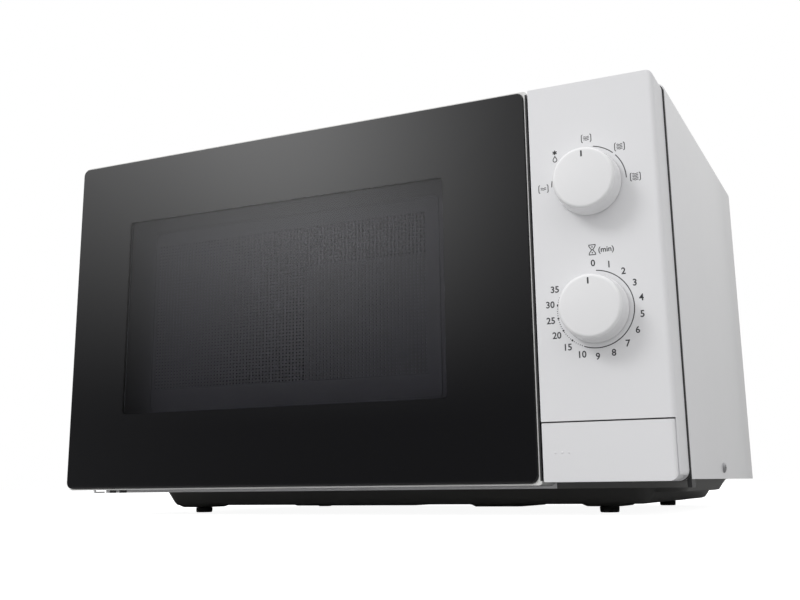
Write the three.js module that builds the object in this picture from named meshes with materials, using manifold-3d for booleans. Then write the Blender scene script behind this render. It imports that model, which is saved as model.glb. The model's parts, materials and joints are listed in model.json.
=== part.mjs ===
// Countertop microwave oven: a white steel cabinet with a black glass door that swings
// to the left, and a plastic control panel with two dials over a push-to-open plate.
//
// Millimetres. X runs from the hinge side to the control side, Y from front to rear and
// Z up. Pieces are drawn with X = 0 at the cabinet's left side, Y = 0 at the glass's front
// face and Z = 0 at its lower edge. The exported group then moves that corner so that its
// own origin is under the middle of the oven, on the surface that the feet stand on.
import * as THREE from 'three';
import { mergeVertices } from 'three/addons/utils/BufferGeometryUtils.js';
import Module from 'manifold-3d';

const wasm = await Module();
wasm.setup();

// Overall sizes
const WIDTH = 455;
const CABINET_HEIGHT = 250.1;
const CABINET_DEPTH = 287.1;
const FOOT_BOTTOM = -19.3;

// Sheet, plastic and clearances
const SHEET = 1;
const GAP = 0.3;
const RUNNING = 0.3;
const THROUGH = 5;   // how far a cutting shape runs past the faces it cuts
const CABINET_CORNER = 5;
const CABINET_BOTTOM = 1.4;
const LIP_END = 13;   // the front plate's bottom lip runs this far under the control panel

// Door, in front of the front plate
const DOOR_DEPTH = 28;
const DOOR_BOTTOM = -1.2;
const DOOR_BELOW_TOP = 1.3;
const DOOR_PLATE_GAP = 1;
const DOOR_PANEL_GAP = 1.1;
const GLASS = 3.2;
const GLASS_CORNER = 5;
const GLASS_SIDE_LIP = 2.1;
const FRAME_WALL = 2.5;
const FRAME_HINGE_WALL = 6.5;
const FRAME_FACE = 3;
const WINDOW_MARGIN = [48, 57, 50, 46];   // left, right, bottom and top bars of the frame
const CHOKE_PANEL_Y = 20.3;
const CHOKE_RIM = 5;

// Control panel
const PANEL_WIDTH = 82.4;
const PANEL_WALL = 2.3;
const PANEL_CORNER = 9;
const PANEL_EDGE = 7;
const PANEL_BOTTOM = 0.4;
const PANEL_BELOW_TOP = 1.7;
const BUTTON_HEIGHT = 34.8;
const BUTTON_SIDE = 4;
const BUTTON_DEPTH = 18;
const BUTTON_TRAVEL = 5;
const POST_SHORT_OF_PLATE = 9;
const SPLIT = 0.6;
const DIAL_FROM_RIGHT = 45;
const POWER_DIAL_DROP = 67.7;   // from the panel's top
const DIAL_PITCH = 79.4;
const KNOB_RADIUS = 21;
const KNOB_FACE_RADIUS = 19;
const KNOB_HEIGHT = 14;
const KNOB_WALL = 2;
const KNOB_STANDOFF = 0.5;
const SHAFT_RADIUS = 3;

// Cavity
const CAVITY_LEFT = 28;
const LATCH_ROOM = 34.6;   // from the cavity's right wall to the control panel
const CAVITY_FLOOR = 20;
const CAVITY_ROOF = 27.5;
const CAVITY_REAR_GAP = 9.5;
const CAVITY_CORNER = 12;

// Turntable
const TRAY_RADIUS = 122.5;
const TRAY_WALL = 5;
const TRAY_HEIGHT = 15;
const WHEEL_RADIUS = 7;
const WHEEL_WIDTH = 8;
const WHEEL_TRACK = 98;
const AXLE_RADIUS = 2;
const COUPLER_RADIUS = 5;

// Hinge and latch
const HINGE_X = 8;
const HINGE_Y = 19.5;
const HINGE_TAB = 5;
const HINGE_SHEET = 1.5;
const PIN_RADIUS = 2.5;
const PIN_LENGTH = 9;
const HOOK_THICKNESS = 4;
const HOOK_FROM_DOOR_EDGE = 6.5;
const LOWER_HOOK_Z = 62;
const UPPER_HOOK_DROP = 62.2;   // from the door's top
const HOOK_LIFT = 4;

// Base
const PAN_FLANGE_Z = -2.8;
const PAN_FLOOR_Z = -12.5;
const PAN_PAD_Z = -15.2;
const PAN_SIDE_STEP_Z = -6.5;
const FOOT_SIDE = 64.6;
const FOOT_FRONT_Y = 85.7;
const FOOT_REAR = 37.4;
const FOOT_RADIUS = 6.5;

// Places that follow from the sizes
const cabinetTop = CABINET_BOTTOM + CABINET_HEIGHT;
const doorTop = cabinetTop - DOOR_BELOW_TOP;
const panelTop = cabinetTop - PANEL_BELOW_TOP;
const powerDialZ = panelTop - POWER_DIAL_DROP;
const timerDialZ = powerDialZ - DIAL_PITCH;
const hookHeights = [LOWER_HOOK_Z, doorTop - UPPER_HOOK_DROP];
const plateY = DOOR_DEPTH + DOOR_PLATE_GAP;
const cabinetFrontY = plateY + SHEET + GAP;
const cabinetRearY = cabinetFrontY + CABINET_DEPTH;
const rearPanelY = cabinetRearY - 2.9;
const panelX = WIDTH - PANEL_WIDTH;
const doorRight = panelX - DOOR_PANEL_GAP;
const glassRight = doorRight - GLASS_SIDE_LIP;
const glassTop = doorTop - 0.9;
const dialX = WIDTH - DIAL_FROM_RIGHT;
const buttonTop = PANEL_BOTTOM + BUTTON_HEIGHT + 0.2;
const buttonRight = WIDTH - BUTTON_SIDE;
const cavityRight = panelX - LATCH_ROOM;
const cavityTop = cabinetTop - CAVITY_ROOF;
const cavityRearY = rearPanelY - CAVITY_REAR_GAP;
const cavityMiddleX = (CAVITY_LEFT + cavityRight) / 2;
const cavityMiddleY = (cabinetFrontY + cavityRearY) / 2;
const wheelZ = CAVITY_FLOOR + GAP + WHEEL_RADIUS;
const trayZ = wheelZ + WHEEL_RADIUS + GAP;
const bayLeft = cavityRight + SHEET + GAP;
const hookX = doorRight - HOOK_FROM_DOOR_EDGE - HOOK_THICKNESS;
const panFloorTop = PAN_FLOOR_Z + SHEET;

// Door details
// The frame's corner blocks take the hinge pins; each has a notch that the hinge tab sits in
const notch = { right: 14, front: 12.5, height: 5, blockRight: 16, blockHeight: 15, blockFront: 11.5 };
const frameWindow = {
  x: [WINDOW_MARGIN[0], doorRight - WINDOW_MARGIN[1]],
  z: [WINDOW_MARGIN[2], doorTop - WINDOW_MARGIN[3]],
};

const steelPanel = { x: [8, doorRight - 14.5], z: [4, doorTop - 5] };

// Rear panel, fan and feet
const gland = { x: WIDTH - 27, z: 42, hole: 8 };
const fan = {
  x: (bayLeft + WIDTH - SHEET) / 2 + 2,
  z: cavityTop - 62,
  radius: 37,
  clearance: 3,
  housingHalf: 48,
  housingDepth: 26,
  motorDepth: 20,
};

const footPlaces = [];
for (const x of [FOOT_SIDE, WIDTH - FOOT_SIDE]) {
  for (const y of [FOOT_FRONT_Y, cabinetRearY - FOOT_REAR]) {
    footPlaces.push([x, y]);
  }
}

// The microwave source in the bay: waveguide, antenna, port and lamp, then the heavy parts
const guide = {
  x: [bayLeft, bayLeft + 28],
  y: [cavityMiddleY - 52, cavityMiddleY + 36],
  z: [cavityTop - 86, cavityTop - 24],
};
const antenna = { y: guide.y[0] + 26, z: (guide.z[0] + guide.z[1]) / 2, radius: 9 };
const waveguidePort = { y: [guide.y[0] + 46, guide.y[1] - 4], z: [guide.z[0] + 6, guide.z[1] - 6] };
const lamp = { y: guide.y[1] + 34, z: cavityTop - 30, radius: 8.5 };
const transformer = {
  x: bayLeft + 2,
  y: 92,
  z: panFloorTop + GAP,
  width: 72,
  depth: 58,
  height: 58,
  leg: 12,
  coilMargin: 10,
};
const coilWindow = {
  z: [transformer.z + 15, transformer.z + 43],
  width: transformer.width / 2 - transformer.leg * 2,
};
const coilSplit = (coilWindow.z[0] + coilWindow.z[1]) / 2;
const capacitor = {
  x: bayLeft + 8,
  y: transformer.y + transformer.depth + 34,
  z: panFloorTop + GAP + 2,
  width: 54,
  height: 34,
  length: 88,
};

// Dial works, latch board, lever and switches
const timer = { half: 25, depth: 27, y: cabinetFrontY + 0.1 };
const selector = { half: 20, depth: 18 };
const latch = {
  x: [hookX - 14, panelX - 2.1],
  wall: 2.5,
  y: [cabinetFrontY + 0.1, cabinetFrontY + 36],
  z: [hookHeights[0] - 22, hookHeights[1] + 24],
};
const pivot = { y: cabinetFrontY + 14, z: 48, radius: 2.5 };
const lever = { x: [panelX + 4.4, panelX + 10.4], contactZ: 18.5 };
const micro = { x: 10.3, y: 15.9, z: 27.8, hole: 2.2, plunger: 3 };

const FINISH = {
  enamel: { color: 0xe9e9eb, roughness: 0.3, metalness: 0 },
  whitePlastic: { color: 0xe2e2e4, roughness: 0.35, metalness: 0 },
  knob: { color: 0xf0f0f1, roughness: 0.3, metalness: 0 },
  blackGlass: { color: 0x0c0c0e, roughness: 0.04, metalness: 0 },
  blackPlastic: { color: 0x17171a, roughness: 0.5, metalness: 0 },
  greyPlastic: { color: 0xb9babd, roughness: 0.5, metalness: 0 },
  clearGlass: { color: 0xdfe9e8, roughness: 0.05, metalness: 0 },
  cavityEnamel: { color: 0xb9bcbf, roughness: 0.35, metalness: 0 },
  zinc: { color: 0xa9adb0, roughness: 0.4, metalness: 0.9 },
  darkSteel: { color: 0x4a4b4e, roughness: 0.5, metalness: 0.4 },
  copper: { color: 0xa8592c, roughness: 0.4, metalness: 0.9 },
  laminate: { color: 0x55595c, roughness: 0.5, metalness: 0.7 },
  aluminium: { color: 0xc4c7ca, roughness: 0.35, metalness: 0.95 },
  mica: { color: 0xa89a83, roughness: 0.6, metalness: 0 },
  board: { color: 0x2f6b45, roughness: 0.5, metalness: 0 },
  rubber: { color: 0x141414, roughness: 0.9, metalness: 0 },
};

const oven = new THREE.Group();

// ---- Tools: closed three.js shapes as solids, joined and cut ----

function signedVolume(position, triangles) {
  const corner = [new THREE.Vector3(), new THREE.Vector3(), new THREE.Vector3()];
  let total = 0;
  for (let i = 0; i < triangles.length; i += 3) {
    corner.forEach((v, k) => v.fromArray(position, 3 * triangles[i + k]));
    total += corner[0].dot(corner[1].cross(corner[2])) / 6;
  }
  return total;
}

function solid(geometry) {
  geometry.deleteAttribute('normal');
  geometry.deleteAttribute('uv');
  const merged = mergeVertices(geometry, 1e-3);
  const position = merged.attributes.position.array;
  const index = merged.index.array;
  let triangles = [];
  for (let i = 0; i < index.length; i += 3) {
    const [a, b, c] = index.slice(i, i + 3);
    if (a !== b && b !== c && c !== a) {
      triangles.push(a, b, c);
    }
  }
  if (signedVolume(position, triangles) < 0) {
    triangles = triangles.reverse();
  }
  const mesh = { numProp: 3, vertProperties: position, triVerts: new Uint32Array(triangles) };
  return new wasm.Manifold(new wasm.Mesh(mesh));
}

const join = (first, ...rest) => rest.reduce((whole, next) => whole.add(next), first);
const cut = (first, ...rest) => rest.reduce((whole, next) => whole.subtract(next), first);

function place(name, piece, finish, parent = oven, position = [0, 0, 0]) {
  const { vertProperties, triVerts } = piece.getMesh();
  const geometry = new THREE.BufferGeometry();
  geometry.setAttribute('position', new THREE.BufferAttribute(vertProperties, 3));
  geometry.setIndex(new THREE.BufferAttribute(triVerts, 1));
  geometry.computeVertexNormals();
  const mesh = new THREE.Mesh(geometry, new THREE.MeshStandardMaterial(finish));
  mesh.name = name;
  mesh.position.set(...position);
  parent.add(mesh);
  return mesh;
}

function box(x0, x1, y0, y1, z0, z1) {
  const geometry = new THREE.BoxGeometry(x1 - x0, y1 - y0, z1 - z0);
  return solid(geometry.translate((x0 + x1) / 2, (y0 + y1) / 2, (z0 + z1) / 2));
}

const AXES = {
  x: [new THREE.Vector3(0, 1, 0), new THREE.Vector3(0, 0, 1), new THREE.Vector3(1, 0, 0)],
  y: [new THREE.Vector3(1, 0, 0), new THREE.Vector3(0, 0, 1), new THREE.Vector3(0, -1, 0)],
  z: [new THREE.Vector3(1, 0, 0), new THREE.Vector3(0, 1, 0), new THREE.Vector3(0, 0, 1)],
};

// A flat outline extruded along an axis. The outline is drawn in the other two axes, in order.
function extrude(shape, axis, from, to, curveSegments = 3) {
  const settings = { depth: to - from, bevelEnabled: false, curveSegments };
  const geometry = new THREE.ExtrudeGeometry(shape, settings);
  geometry.applyMatrix4(new THREE.Matrix4().makeBasis(...AXES[axis]));
  const start = axis === 'y' ? to : from;
  const shift = { x: [start, 0, 0], y: [0, start, 0], z: [0, 0, start] }[axis];
  return solid(geometry.translate(...shift));
}

// A rod along an axis; centre holds its place on the other two axes, in order.
function rod(axis, radius, from, to, centre, segments = 24) {
  const shape = new THREE.Shape();
  for (let i = 0; i < segments; i += 1) {
    const turn = (2 * Math.PI * i) / segments;
    const point = [centre[0] + radius * Math.cos(turn), centre[1] + radius * Math.sin(turn)];
    if (i === 0) {
      shape.moveTo(...point);
    } else {
      shape.lineTo(...point);
    }
  }
  shape.closePath();
  return extrude(shape, axis, from, to);
}

// A rectangle with a radius for each corner: lower left, lower right, upper right, upper left.
function roundedRect(x0, x1, y0, y1, radii) {
  const [ll, lr, ur, ul] = Array.isArray(radii) ? radii : [radii, radii, radii, radii];
  const shape = new THREE.Shape();
  shape.moveTo(x0 + ll, y0);
  shape.lineTo(x1 - lr, y0);
  if (lr > 0) {
    shape.absarc(x1 - lr, y0 + lr, lr, -Math.PI / 2, 0, false);
  }
  shape.lineTo(x1, y1 - ur);
  if (ur > 0) {
    shape.absarc(x1 - ur, y1 - ur, ur, 0, Math.PI / 2, false);
  }
  shape.lineTo(x0 + ul, y1);
  if (ul > 0) {
    shape.absarc(x0 + ul, y1 - ul, ul, Math.PI / 2, Math.PI, false);
  }
  shape.lineTo(x0, y0 + ll);
  if (ll > 0) {
    shape.absarc(x0 + ll, y0 + ll, ll, Math.PI, 1.5 * Math.PI, false);
  }
  return shape;
}

// A profile of [radius, height] points turned about a vertical or a front-to-back axis.
function turned(profile, axis, segments = 32) {
  const points = profile.map(([radius, along]) => new THREE.Vector2(radius, along));
  const geometry = new THREE.LatheGeometry(points, segments);
  if (axis === 'z') {
    geometry.rotateX(Math.PI / 2);
  }
  return solid(geometry);
}

// A block whose lower face is smaller than its upper face by an inset on every side.
function taperedBlock(x0, x1, y0, y1, z0, z1, inset, corner = 8) {
  const shape = roundedRect(x0, x1, y0, y1, corner);
  const settings = { depth: z1 - z0, bevelEnabled: false, curveSegments: 1 };
  const geometry = new THREE.ExtrudeGeometry(shape, settings);
  const position = geometry.attributes.position;
  const middle = [(x0 + x1) / 2, (y0 + y1) / 2];
  const scale = [1 - (2 * inset) / (x1 - x0), 1 - (2 * inset) / (y1 - y0)];
  for (let i = 0; i < position.count; i += 1) {
    if (position.getZ(i) < (z1 - z0) / 2) {
      position.setX(i, middle[0] + (position.getX(i) - middle[0]) * scale[0]);
      position.setY(i, middle[1] + (position.getY(i) - middle[1]) * scale[1]);
    }
  }
  return solid(geometry.translate(0, 0, z0));
}

// ---- Cabinet ----

function outerCabinet() {
  const top = cabinetTop;
  const outer = roundedRect(0, WIDTH, CABINET_BOTTOM, top, [0, 0, CABINET_CORNER, CABINET_CORNER]);
  const innerCorner = CABINET_CORNER - SHEET;
  const innerCorners = [0, 0, innerCorner, innerCorner];
  const inner = roundedRect(SHEET, WIDTH - SHEET, CABINET_BOTTOM - THROUGH, top - SHEET, innerCorners);
  const wrap = extrude(outer, 'y', cabinetFrontY, cabinetRearY);
  return cut(wrap, extrude(inner, 'y', cabinetFrontY - 5, cabinetRearY + 5));
}

function frontPlate() {
  const bottom = -3.3;
  const plate = box(0.8, WIDTH - 3, plateY, plateY + SHEET, bottom, cabinetTop - SHEET - GAP);
  const lip = box(0.8, WIDTH - 3, plateY, plateY + 11, bottom, bottom + SHEET);
  const mouth = roundedRect(CAVITY_LEFT, cavityRight, CAVITY_FLOOR, cavityTop, CAVITY_CORNER);
  const cuts = [extrude(mouth, 'y', plateY - THROUGH, plateY + THROUGH)];
  for (const z of hookHeights) {
    cuts.push(box(hookX - 2, hookX + HOOK_THICKNESS + 3, plateY - THROUGH, plateY + THROUGH, z - 6, z + 14));
  }
  for (const z of [powerDialZ, timerDialZ]) {
    cuts.push(rod('y', SHAFT_RADIUS + 3, plateY - THROUGH, plateY + THROUGH, [dialX, z]));
  }
  cuts.push(box(panelX + 1.4, panelX + 14, plateY - THROUGH, plateY + THROUGH, 6, buttonTop));
  const tabs = [HINGE_X - HINGE_TAB - GAP, HINGE_X + HINGE_TAB + GAP];
  cuts.push(box(...tabs, plateY - THROUGH, plateY + THROUGH, bottom - 5, 3.4));
  cuts.push(box(...tabs, plateY - THROUGH, plateY + THROUGH, doorTop + DOOR_BOTTOM - 3.4, cabinetTop));
  cuts.push(box(...tabs, plateY - THROUGH, plateY + 20, bottom - THROUGH, bottom + THROUGH));
  const underPanel = [bottom - THROUGH, PANEL_BOTTOM + 0.8];
  cuts.push(box(panelX + LIP_END, WIDTH, plateY - THROUGH, plateY + 20, ...underPanel));
  return cut(join(plate, lip), ...cuts);
}

function rearPanel() {
  const y = [rearPanelY, rearPanelY + SHEET];
  const x = [SHEET + GAP, WIDTH - SHEET - GAP];
  const top = cabinetTop - SHEET - GAP;
  const sheet = extrude(roundedRect(...x, -1.3, top, [0, 0, CABINET_CORNER, CABINET_CORNER]), 'y', ...y);
  const cuts = [rod('y', gland.hole, y[0] - 5, y[1] + 5, [gland.x, gland.z])];
  const slot = { rows: 8, pitch: 9, width: 5, length: 62 };
  for (let row = 0; row < slot.rows; row += 1) {
    const z = fan.z + (row - (slot.rows - 1) / 2) * slot.pitch;
    cuts.push(box(fan.x - slot.length / 2, fan.x + slot.length / 2, y[0] - 5, y[1] + 5, z, z + slot.width));
  }
  for (let row = 0; row < 4; row += 1) {
    const z = cavityTop - 14 - row * slot.pitch;
    cuts.push(box(CAVITY_LEFT + 30, CAVITY_LEFT + 30 + slot.length, y[0] - 5, y[1] + 5, z, z + slot.width));
  }
  return cut(sheet, ...cuts);
}

function basePan() {
  const rim = [PAN_FLANGE_Z, PAN_FLANGE_Z + SHEET];
  const y = [plateY + 11 + GAP, rearPanelY - GAP];
  const edge = SHEET + GAP;
  const side = { inner: edge + SHEET, top: 14 };
  const flat = box(edge, WIDTH - edge, ...y, ...rim);
  const flanges = [
    box(edge, side.inner, ...y, rim[0], side.top),
    box(WIDTH - side.inner, WIDTH - edge, ...y, rim[0], side.top),
  ];
  // Each pressing: its rectangle at the flange, its floor height and the slope's inset
  const pressings = [
    [28, WIDTH - 28, 58, y[1] - 8, PAN_FLOOR_Z, 9],
    [WIDTH - 62, WIDTH - 5, 62, 214, PAN_SIDE_STEP_Z, 5],
    [WIDTH - 166, WIDTH - 112, 62, 138, PAN_PAD_Z, 10],
    [cavityMiddleX - 66, cavityMiddleX + 66, cavityMiddleY - 66, cavityMiddleY + 66, PAN_PAD_Z, 14],
  ];
  for (const [fx, fy] of footPlaces) {
    pressings.push([fx - 28, fx + 28, fy - 26, fy + 26, PAN_PAD_Z, 11]);
  }
  const outer = pressings.map(([x0, x1, y0, y1, z, inset]) => taperedBlock(
    x0, x1, y0, y1, z, rim[1], inset,
  ));
  const inner = pressings.map(([x0, x1, y0, y1, z, inset]) => taperedBlock(
    x0 + SHEET, x1 - SHEET, y0 + SHEET, y1 - SHEET, z + SHEET, rim[1] + SHEET, inset,
  ));
  const holes = footPlaces.map(([fx, fy]) => rod('z', 3, -30, 10, [fx, fy], 16));
  return cut(join(flat, ...flanges, ...outer), ...inner, ...holes);
}

function foot() {
  const stem = PAN_PAD_Z + SHEET + GAP;
  return turned([
    [0, FOOT_BOTTOM], [FOOT_RADIUS - 0.8, FOOT_BOTTOM], [FOOT_RADIUS, FOOT_BOTTOM + 1],
    [FOOT_RADIUS, PAN_PAD_Z - GAP], [3 - GAP, PAN_PAD_Z - GAP], [3 - GAP, stem], [4.2, stem],
    [2.6, stem + 3.5], [0, stem + 3.5],
  ], 'z', 20);
}

// A ribbed strain-relief gland, clamped on both faces of the rear panel, with a bore for the lead
function cordGland() {
  const face = rearPanelY + SHEET + GAP;
  const neck = gland.hole - GAP;
  const back = rearPanelY - GAP;
  return turned([
    [4, back - 5], [neck + 2.2, back - 5], [neck + 2.2, back], [neck, back], [neck, face],
    [neck + 2.6, face], [neck + 2.6, face + 3], [6.4, face + 4.2], [5.8, face + 9.8], [4, face + 9.8],
    [4, back - 5],
  ], 'y', 16);
}

// ---- Cavity ----

function cavityPlates() {
  const x = [CAVITY_LEFT - SHEET, cavityRight + SHEET];
  const y = [cabinetFrontY, cavityRearY - GAP];
  const inside = [CAVITY_FLOOR + GAP, cavityTop - GAP];
  const floor = box(...x, ...y, CAVITY_FLOOR - SHEET, CAVITY_FLOOR);
  const shaftHole = rod('z', COUPLER_RADIUS + 2, 0, 40, [cavityMiddleX, cavityMiddleY]);
  const wall = [cavityRight - THROUGH, cavityRight + THROUGH];
  const port = box(...wall, ...waveguidePort.y, ...waveguidePort.z);
  const lampHole = box(...wall, lamp.y - 9, lamp.y + 9, lamp.z - 5, lamp.z + 5);
  const right = box(cavityRight, cavityRight + SHEET, ...y, ...inside);
  return {
    cavity_floor: cut(floor, shaftHole),
    cavity_ceiling: box(...x, ...y, cavityTop, cavityTop + SHEET),
    cavity_left_wall: box(CAVITY_LEFT - SHEET, CAVITY_LEFT, ...y, ...inside),
    cavity_right_wall: cut(right, port, lampHole),
    cavity_rear_wall: box(...x, cavityRearY, cavityRearY + SHEET, CAVITY_FLOOR - SHEET, cavityTop + SHEET),
  };
}

// ---- Microwave source, in the bay at the right of the cavity ----

function waveguide() {
  const shell = box(...guide.x, ...guide.y, ...guide.z);
  const inside = box(
    guide.x[0] - 1, guide.x[1] - SHEET, guide.y[0] + SHEET, guide.y[1] - SHEET,
    guide.z[0] + SHEET, guide.z[1] - SHEET,
  );
  const across = [guide.x[1] - THROUGH, guide.x[1] + THROUGH];
  const hole = rod('x', antenna.radius + 4, ...across, [antenna.y, antenna.z]);
  return cut(shell, inside, hole);
}

function waveguideCover() {
  const shape = roundedRect(waveguidePort.y[0] - 6, waveguidePort.y[1] + 6,
    waveguidePort.z[0] - 6, waveguidePort.z[1] + 6, 4);
  return extrude(shape, 'x', cavityRight - GAP - 0.8, cavityRight - GAP);
}

// Yoke box with cooling fins on a round anode, magnets at both ends, filter box and antenna
function magnetron() {
  const x = [guide.x[1] + GAP, guide.x[1] + GAP + 58];
  const y = [antenna.y - 40, antenna.y + 40];
  const z = [antenna.z - 32, antenna.z + 32];
  const wall = 1.5;
  const tunnel = box(x[0] + wall, x[1] - wall, y[0] - THROUGH, y[1] + THROUGH, z[0] + wall, z[1] - wall);
  const yoke = cut(box(...x, ...y, ...z), tunnel);
  const middle = [antenna.y, antenna.z];
  const anode = rod('x', 19, x[0] + 1, x[1] - 1, middle, 16);
  const magnets = [[1, 13], [45, 57]].map(([from, to]) => rod('x', 26, x[0] + from, x[0] + to, middle, 20));
  const fins = [];
  const finCount = 4;
  for (let i = 0; i < finCount; i += 1) {
    const at = x[0] + 18 + (i * 21) / (finCount - 1);
    fins.push(box(at, at + 0.8, y[0] + 1, y[1] - 1, z[0] + 1, z[1] - 1));
  }
  const rodEnd = rod('x', antenna.radius, guide.x[0] + 6, x[0] + 1, middle, 16);
  const filterBox = box(x[0] + 10, x[1] - 8, y[0] + 12, y[1] - 12, z[0] - 24, z[0] + 1);
  return join(yoke, anode, ...magnets, ...fins, rodEnd, filterBox);
}

function transformerCore() {
  const { x, y, z, width, depth, height, leg } = transformer;
  const windows = [x + leg, x + width - leg - coilWindow.width].map((left) => box(
    left, left + coilWindow.width, y - 5, y + depth + 5, ...coilWindow.z,
  ));
  const strap = box(x - 3, x + width + 3, y + 8, y + depth - 8, z, z + 2);
  return cut(join(box(x, x + width, y, y + depth, z, z + height), strap), ...windows);
}

function transformerCoil(z0, z1) {
  const { x, y, width, depth, leg, coilMargin } = transformer;
  const across = [x + leg + GAP, x + width - leg - GAP];
  const outer = roundedRect(...across, y - coilMargin, y + depth + coilMargin, 6);
  const near = x + leg + coilWindow.width - GAP;
  const far = x + width - leg - coilWindow.width + GAP;
  outer.holes.push(roundedRect(near, far, y - GAP, y + depth + GAP, 0));
  return extrude(outer, 'z', z0, z1);
}

function capacitorCan() {
  const { x, y, z, width, height, length } = capacitor;
  const round = height / 2 - 0.1;
  const can = extrude(roundedRect(x, x + width, z, z + height, round), 'y', y, y + length);
  const tabs = [width * 0.32, width * 0.68].map((at) => box(
    x + at - 3, x + at + 3, y - 9, y + 1, z + height / 2 - 0.6, z + height / 2 + 0.6,
  ));
  return join(can, ...tabs);
}

function capacitorClamp() {
  const { x, y, z, width, height, length } = capacitor;
  const band = SHEET + GAP;
  const round = height / 2 - 0.1;
  const outer = roundedRect(x - band, x + width + band, z - band, z + height + band, round + band);
  outer.holes.push(roundedRect(x - GAP, x + width + GAP, z - GAP, z + height + GAP, round + GAP));
  const middle = y + length / 2;
  const along = [middle - 8, middle + 8];
  const ear = box(x + width + GAP + 0.2, x + width + 13, ...along, z + height / 2 - 1, z + height / 2 + 1);
  return join(extrude(outer, 'y', ...along), ear);
}

function diode() {
  const x = capacitor.x + 10;
  const y = capacitor.y - 17;
  const z = capacitor.z + 4;
  const body = rod('x', 3.5, x, x + 20, [y, z], 16);
  const lead = rod('x', 0.9, x - 6, x + 30, [y, z], 8);
  const lug = rod('x', 4, x + 29, x + 30.5, [y, z], 12);
  return join(body, lead, lug);
}

function filterBoard() {
  const x = [WIDTH - 50, WIDTH - 8];
  const y = rearPanelY - 12;
  const z = [gland.z + 16, gland.z + 66];
  const board = box(...x, y, y + 1.6, ...z);
  const parts = [
    box(x[0] + 5, x[0] + 17, y - 14, y + 1, z[0] + 6, z[0] + 30),
    box(x[0] + 22, x[1] - 4, y - 10, y + 1, z[1] - 16, z[1] - 6),
    rod('y', 8, y - 12, y + 1, [x[1] - 12, z[0] + 14], 16),
  ];
  return join(board, ...parts);
}

// ---- Cooling fan ----

function fanHousing() {
  const y1 = rearPanelY - GAP - 1;
  const y0 = y1 - fan.housingDepth;
  const x = [fan.x - fan.housingHalf, fan.x + fan.housingHalf];
  const z = [fan.z - fan.housingHalf, fan.z + fan.housingHalf];
  const wall = 2;
  const block = box(...x, y0, y1, ...z);
  const inside = box(x[0] + wall, x[1] - wall, y0 + wall, y1 + 5, z[0] + wall, z[1] - wall);
  const ring = rod('y', fan.radius + fan.clearance, y0 - THROUGH, y0 + THROUGH, [fan.x, fan.z], 40);
  const bridge = box(x[0] + 3, x[1] - 3, y0, y0 + wall, fan.z - 9, fan.z + 9);
  const bore = rod('y', 4, y0 - THROUGH, y0 + THROUGH, [fan.x, fan.z], 16);
  return cut(join(cut(block, inside, ring), bridge), bore);
}

function fanMotor() {
  const y1 = rearPanelY - GAP - 1 - fan.housingDepth - GAP;
  const y0 = y1 - fan.motorDepth;
  const stack = box(fan.x - 22, fan.x + 22, y0 + 4, y1 - 4, fan.z - 20, fan.z + 14);
  const coil = box(fan.x - 14, fan.x + 14, y0 + 1, y1 - 1, fan.z - 32, fan.z - 15);
  const bearing = rod('y', 7, y0, y1, [fan.x, fan.z]);
  const bore = rod('y', 2.5 + RUNNING, y0 + 3, y1 + 5, [fan.x, fan.z], 16);
  return cut(join(stack, coil, bearing), bore);
}

function fanBlade() {
  const hubFront = rearPanelY - GAP - 1 - fan.housingDepth + 5;
  const parts = [
    rod('y', 9, hubFront, hubFront + 12, [0, 0]),
    rod('y', 2.5, hubFront - 17, hubFront + 1, [0, 0], 16),
  ];
  const bladeCount = 5;
  const pitch = THREE.MathUtils.degToRad(32);
  for (let i = 0; i < bladeCount; i += 1) {
    const outline = new THREE.Shape();
    outline.moveTo(6, -5);
    outline.lineTo(fan.radius - 4, -9);
    outline.quadraticCurveTo(fan.radius, 0, fan.radius - 4, 9);
    outline.lineTo(6, 5);
    outline.closePath();
    const settings = { depth: 1.2, bevelEnabled: false, curveSegments: 4 };
    const geometry = new THREE.ExtrudeGeometry(outline, settings);
    geometry.rotateX(Math.PI / 2 - pitch);
    geometry.rotateY((2 * Math.PI * i) / bladeCount);
    parts.push(solid(geometry.translate(0, hubFront + 6, 0)));
  }
  return join(...parts);
}

// ---- Lamp and cut-out ----

function lampHolder() {
  const x = [bayLeft, bayLeft + 38];
  const socket = box(x[0] + 22, x[1], lamp.y - 12, lamp.y + 12, lamp.z - 12, lamp.z + 12);
  const tall = [lamp.z - 12, lamp.z + 12];
  const legs = [lamp.y - 12, lamp.y + 10].map((y) => box(x[0], x[0] + 23, y, y + 2, ...tall));
  const bore = rod('x', 6 + RUNNING, x[0] + 10, x[1] - 3, [lamp.y, lamp.z], 20);
  return cut(join(socket, ...legs), bore);
}

function cavityLamp() {
  const start = bayLeft + 2;
  const profile = [[0, start]];
  for (let i = 1; i <= 6; i += 1) {
    const turn = (i / 6) * 0.72 * Math.PI;
    profile.push([lamp.radius * Math.sin(turn), start + lamp.radius * (1 - Math.cos(turn))]);
  }
  profile.push([6, bayLeft + 20], [6, bayLeft + 34], [0, bayLeft + 34]);
  const points = profile.map(([radius, along]) => new THREE.Vector2(radius, along));
  const geometry = new THREE.LatheGeometry(points, 20);
  geometry.rotateZ(-Math.PI / 2);
  return solid(geometry.translate(0, lamp.y, lamp.z));
}

function thermalCutout() {
  const centre = [guide.y[1] + 22, guide.z[0] - 28];
  const button = rod('x', 8, bayLeft, bayLeft + 9, centre, 20);
  const flange = box(bayLeft, bayLeft + 1.2, centre[0] - 14, centre[0] + 14, centre[1] - 6, centre[1] + 6);
  const blades = [-4, 4].map((dy) => box(
    bayLeft + 8, bayLeft + 17, centre[0] + dy - 0.4, centre[0] + dy + 0.4, centre[1] - 3, centre[1] + 3,
  ));
  return join(button, flange, ...blades);
}

// ---- Turntable ----

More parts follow.
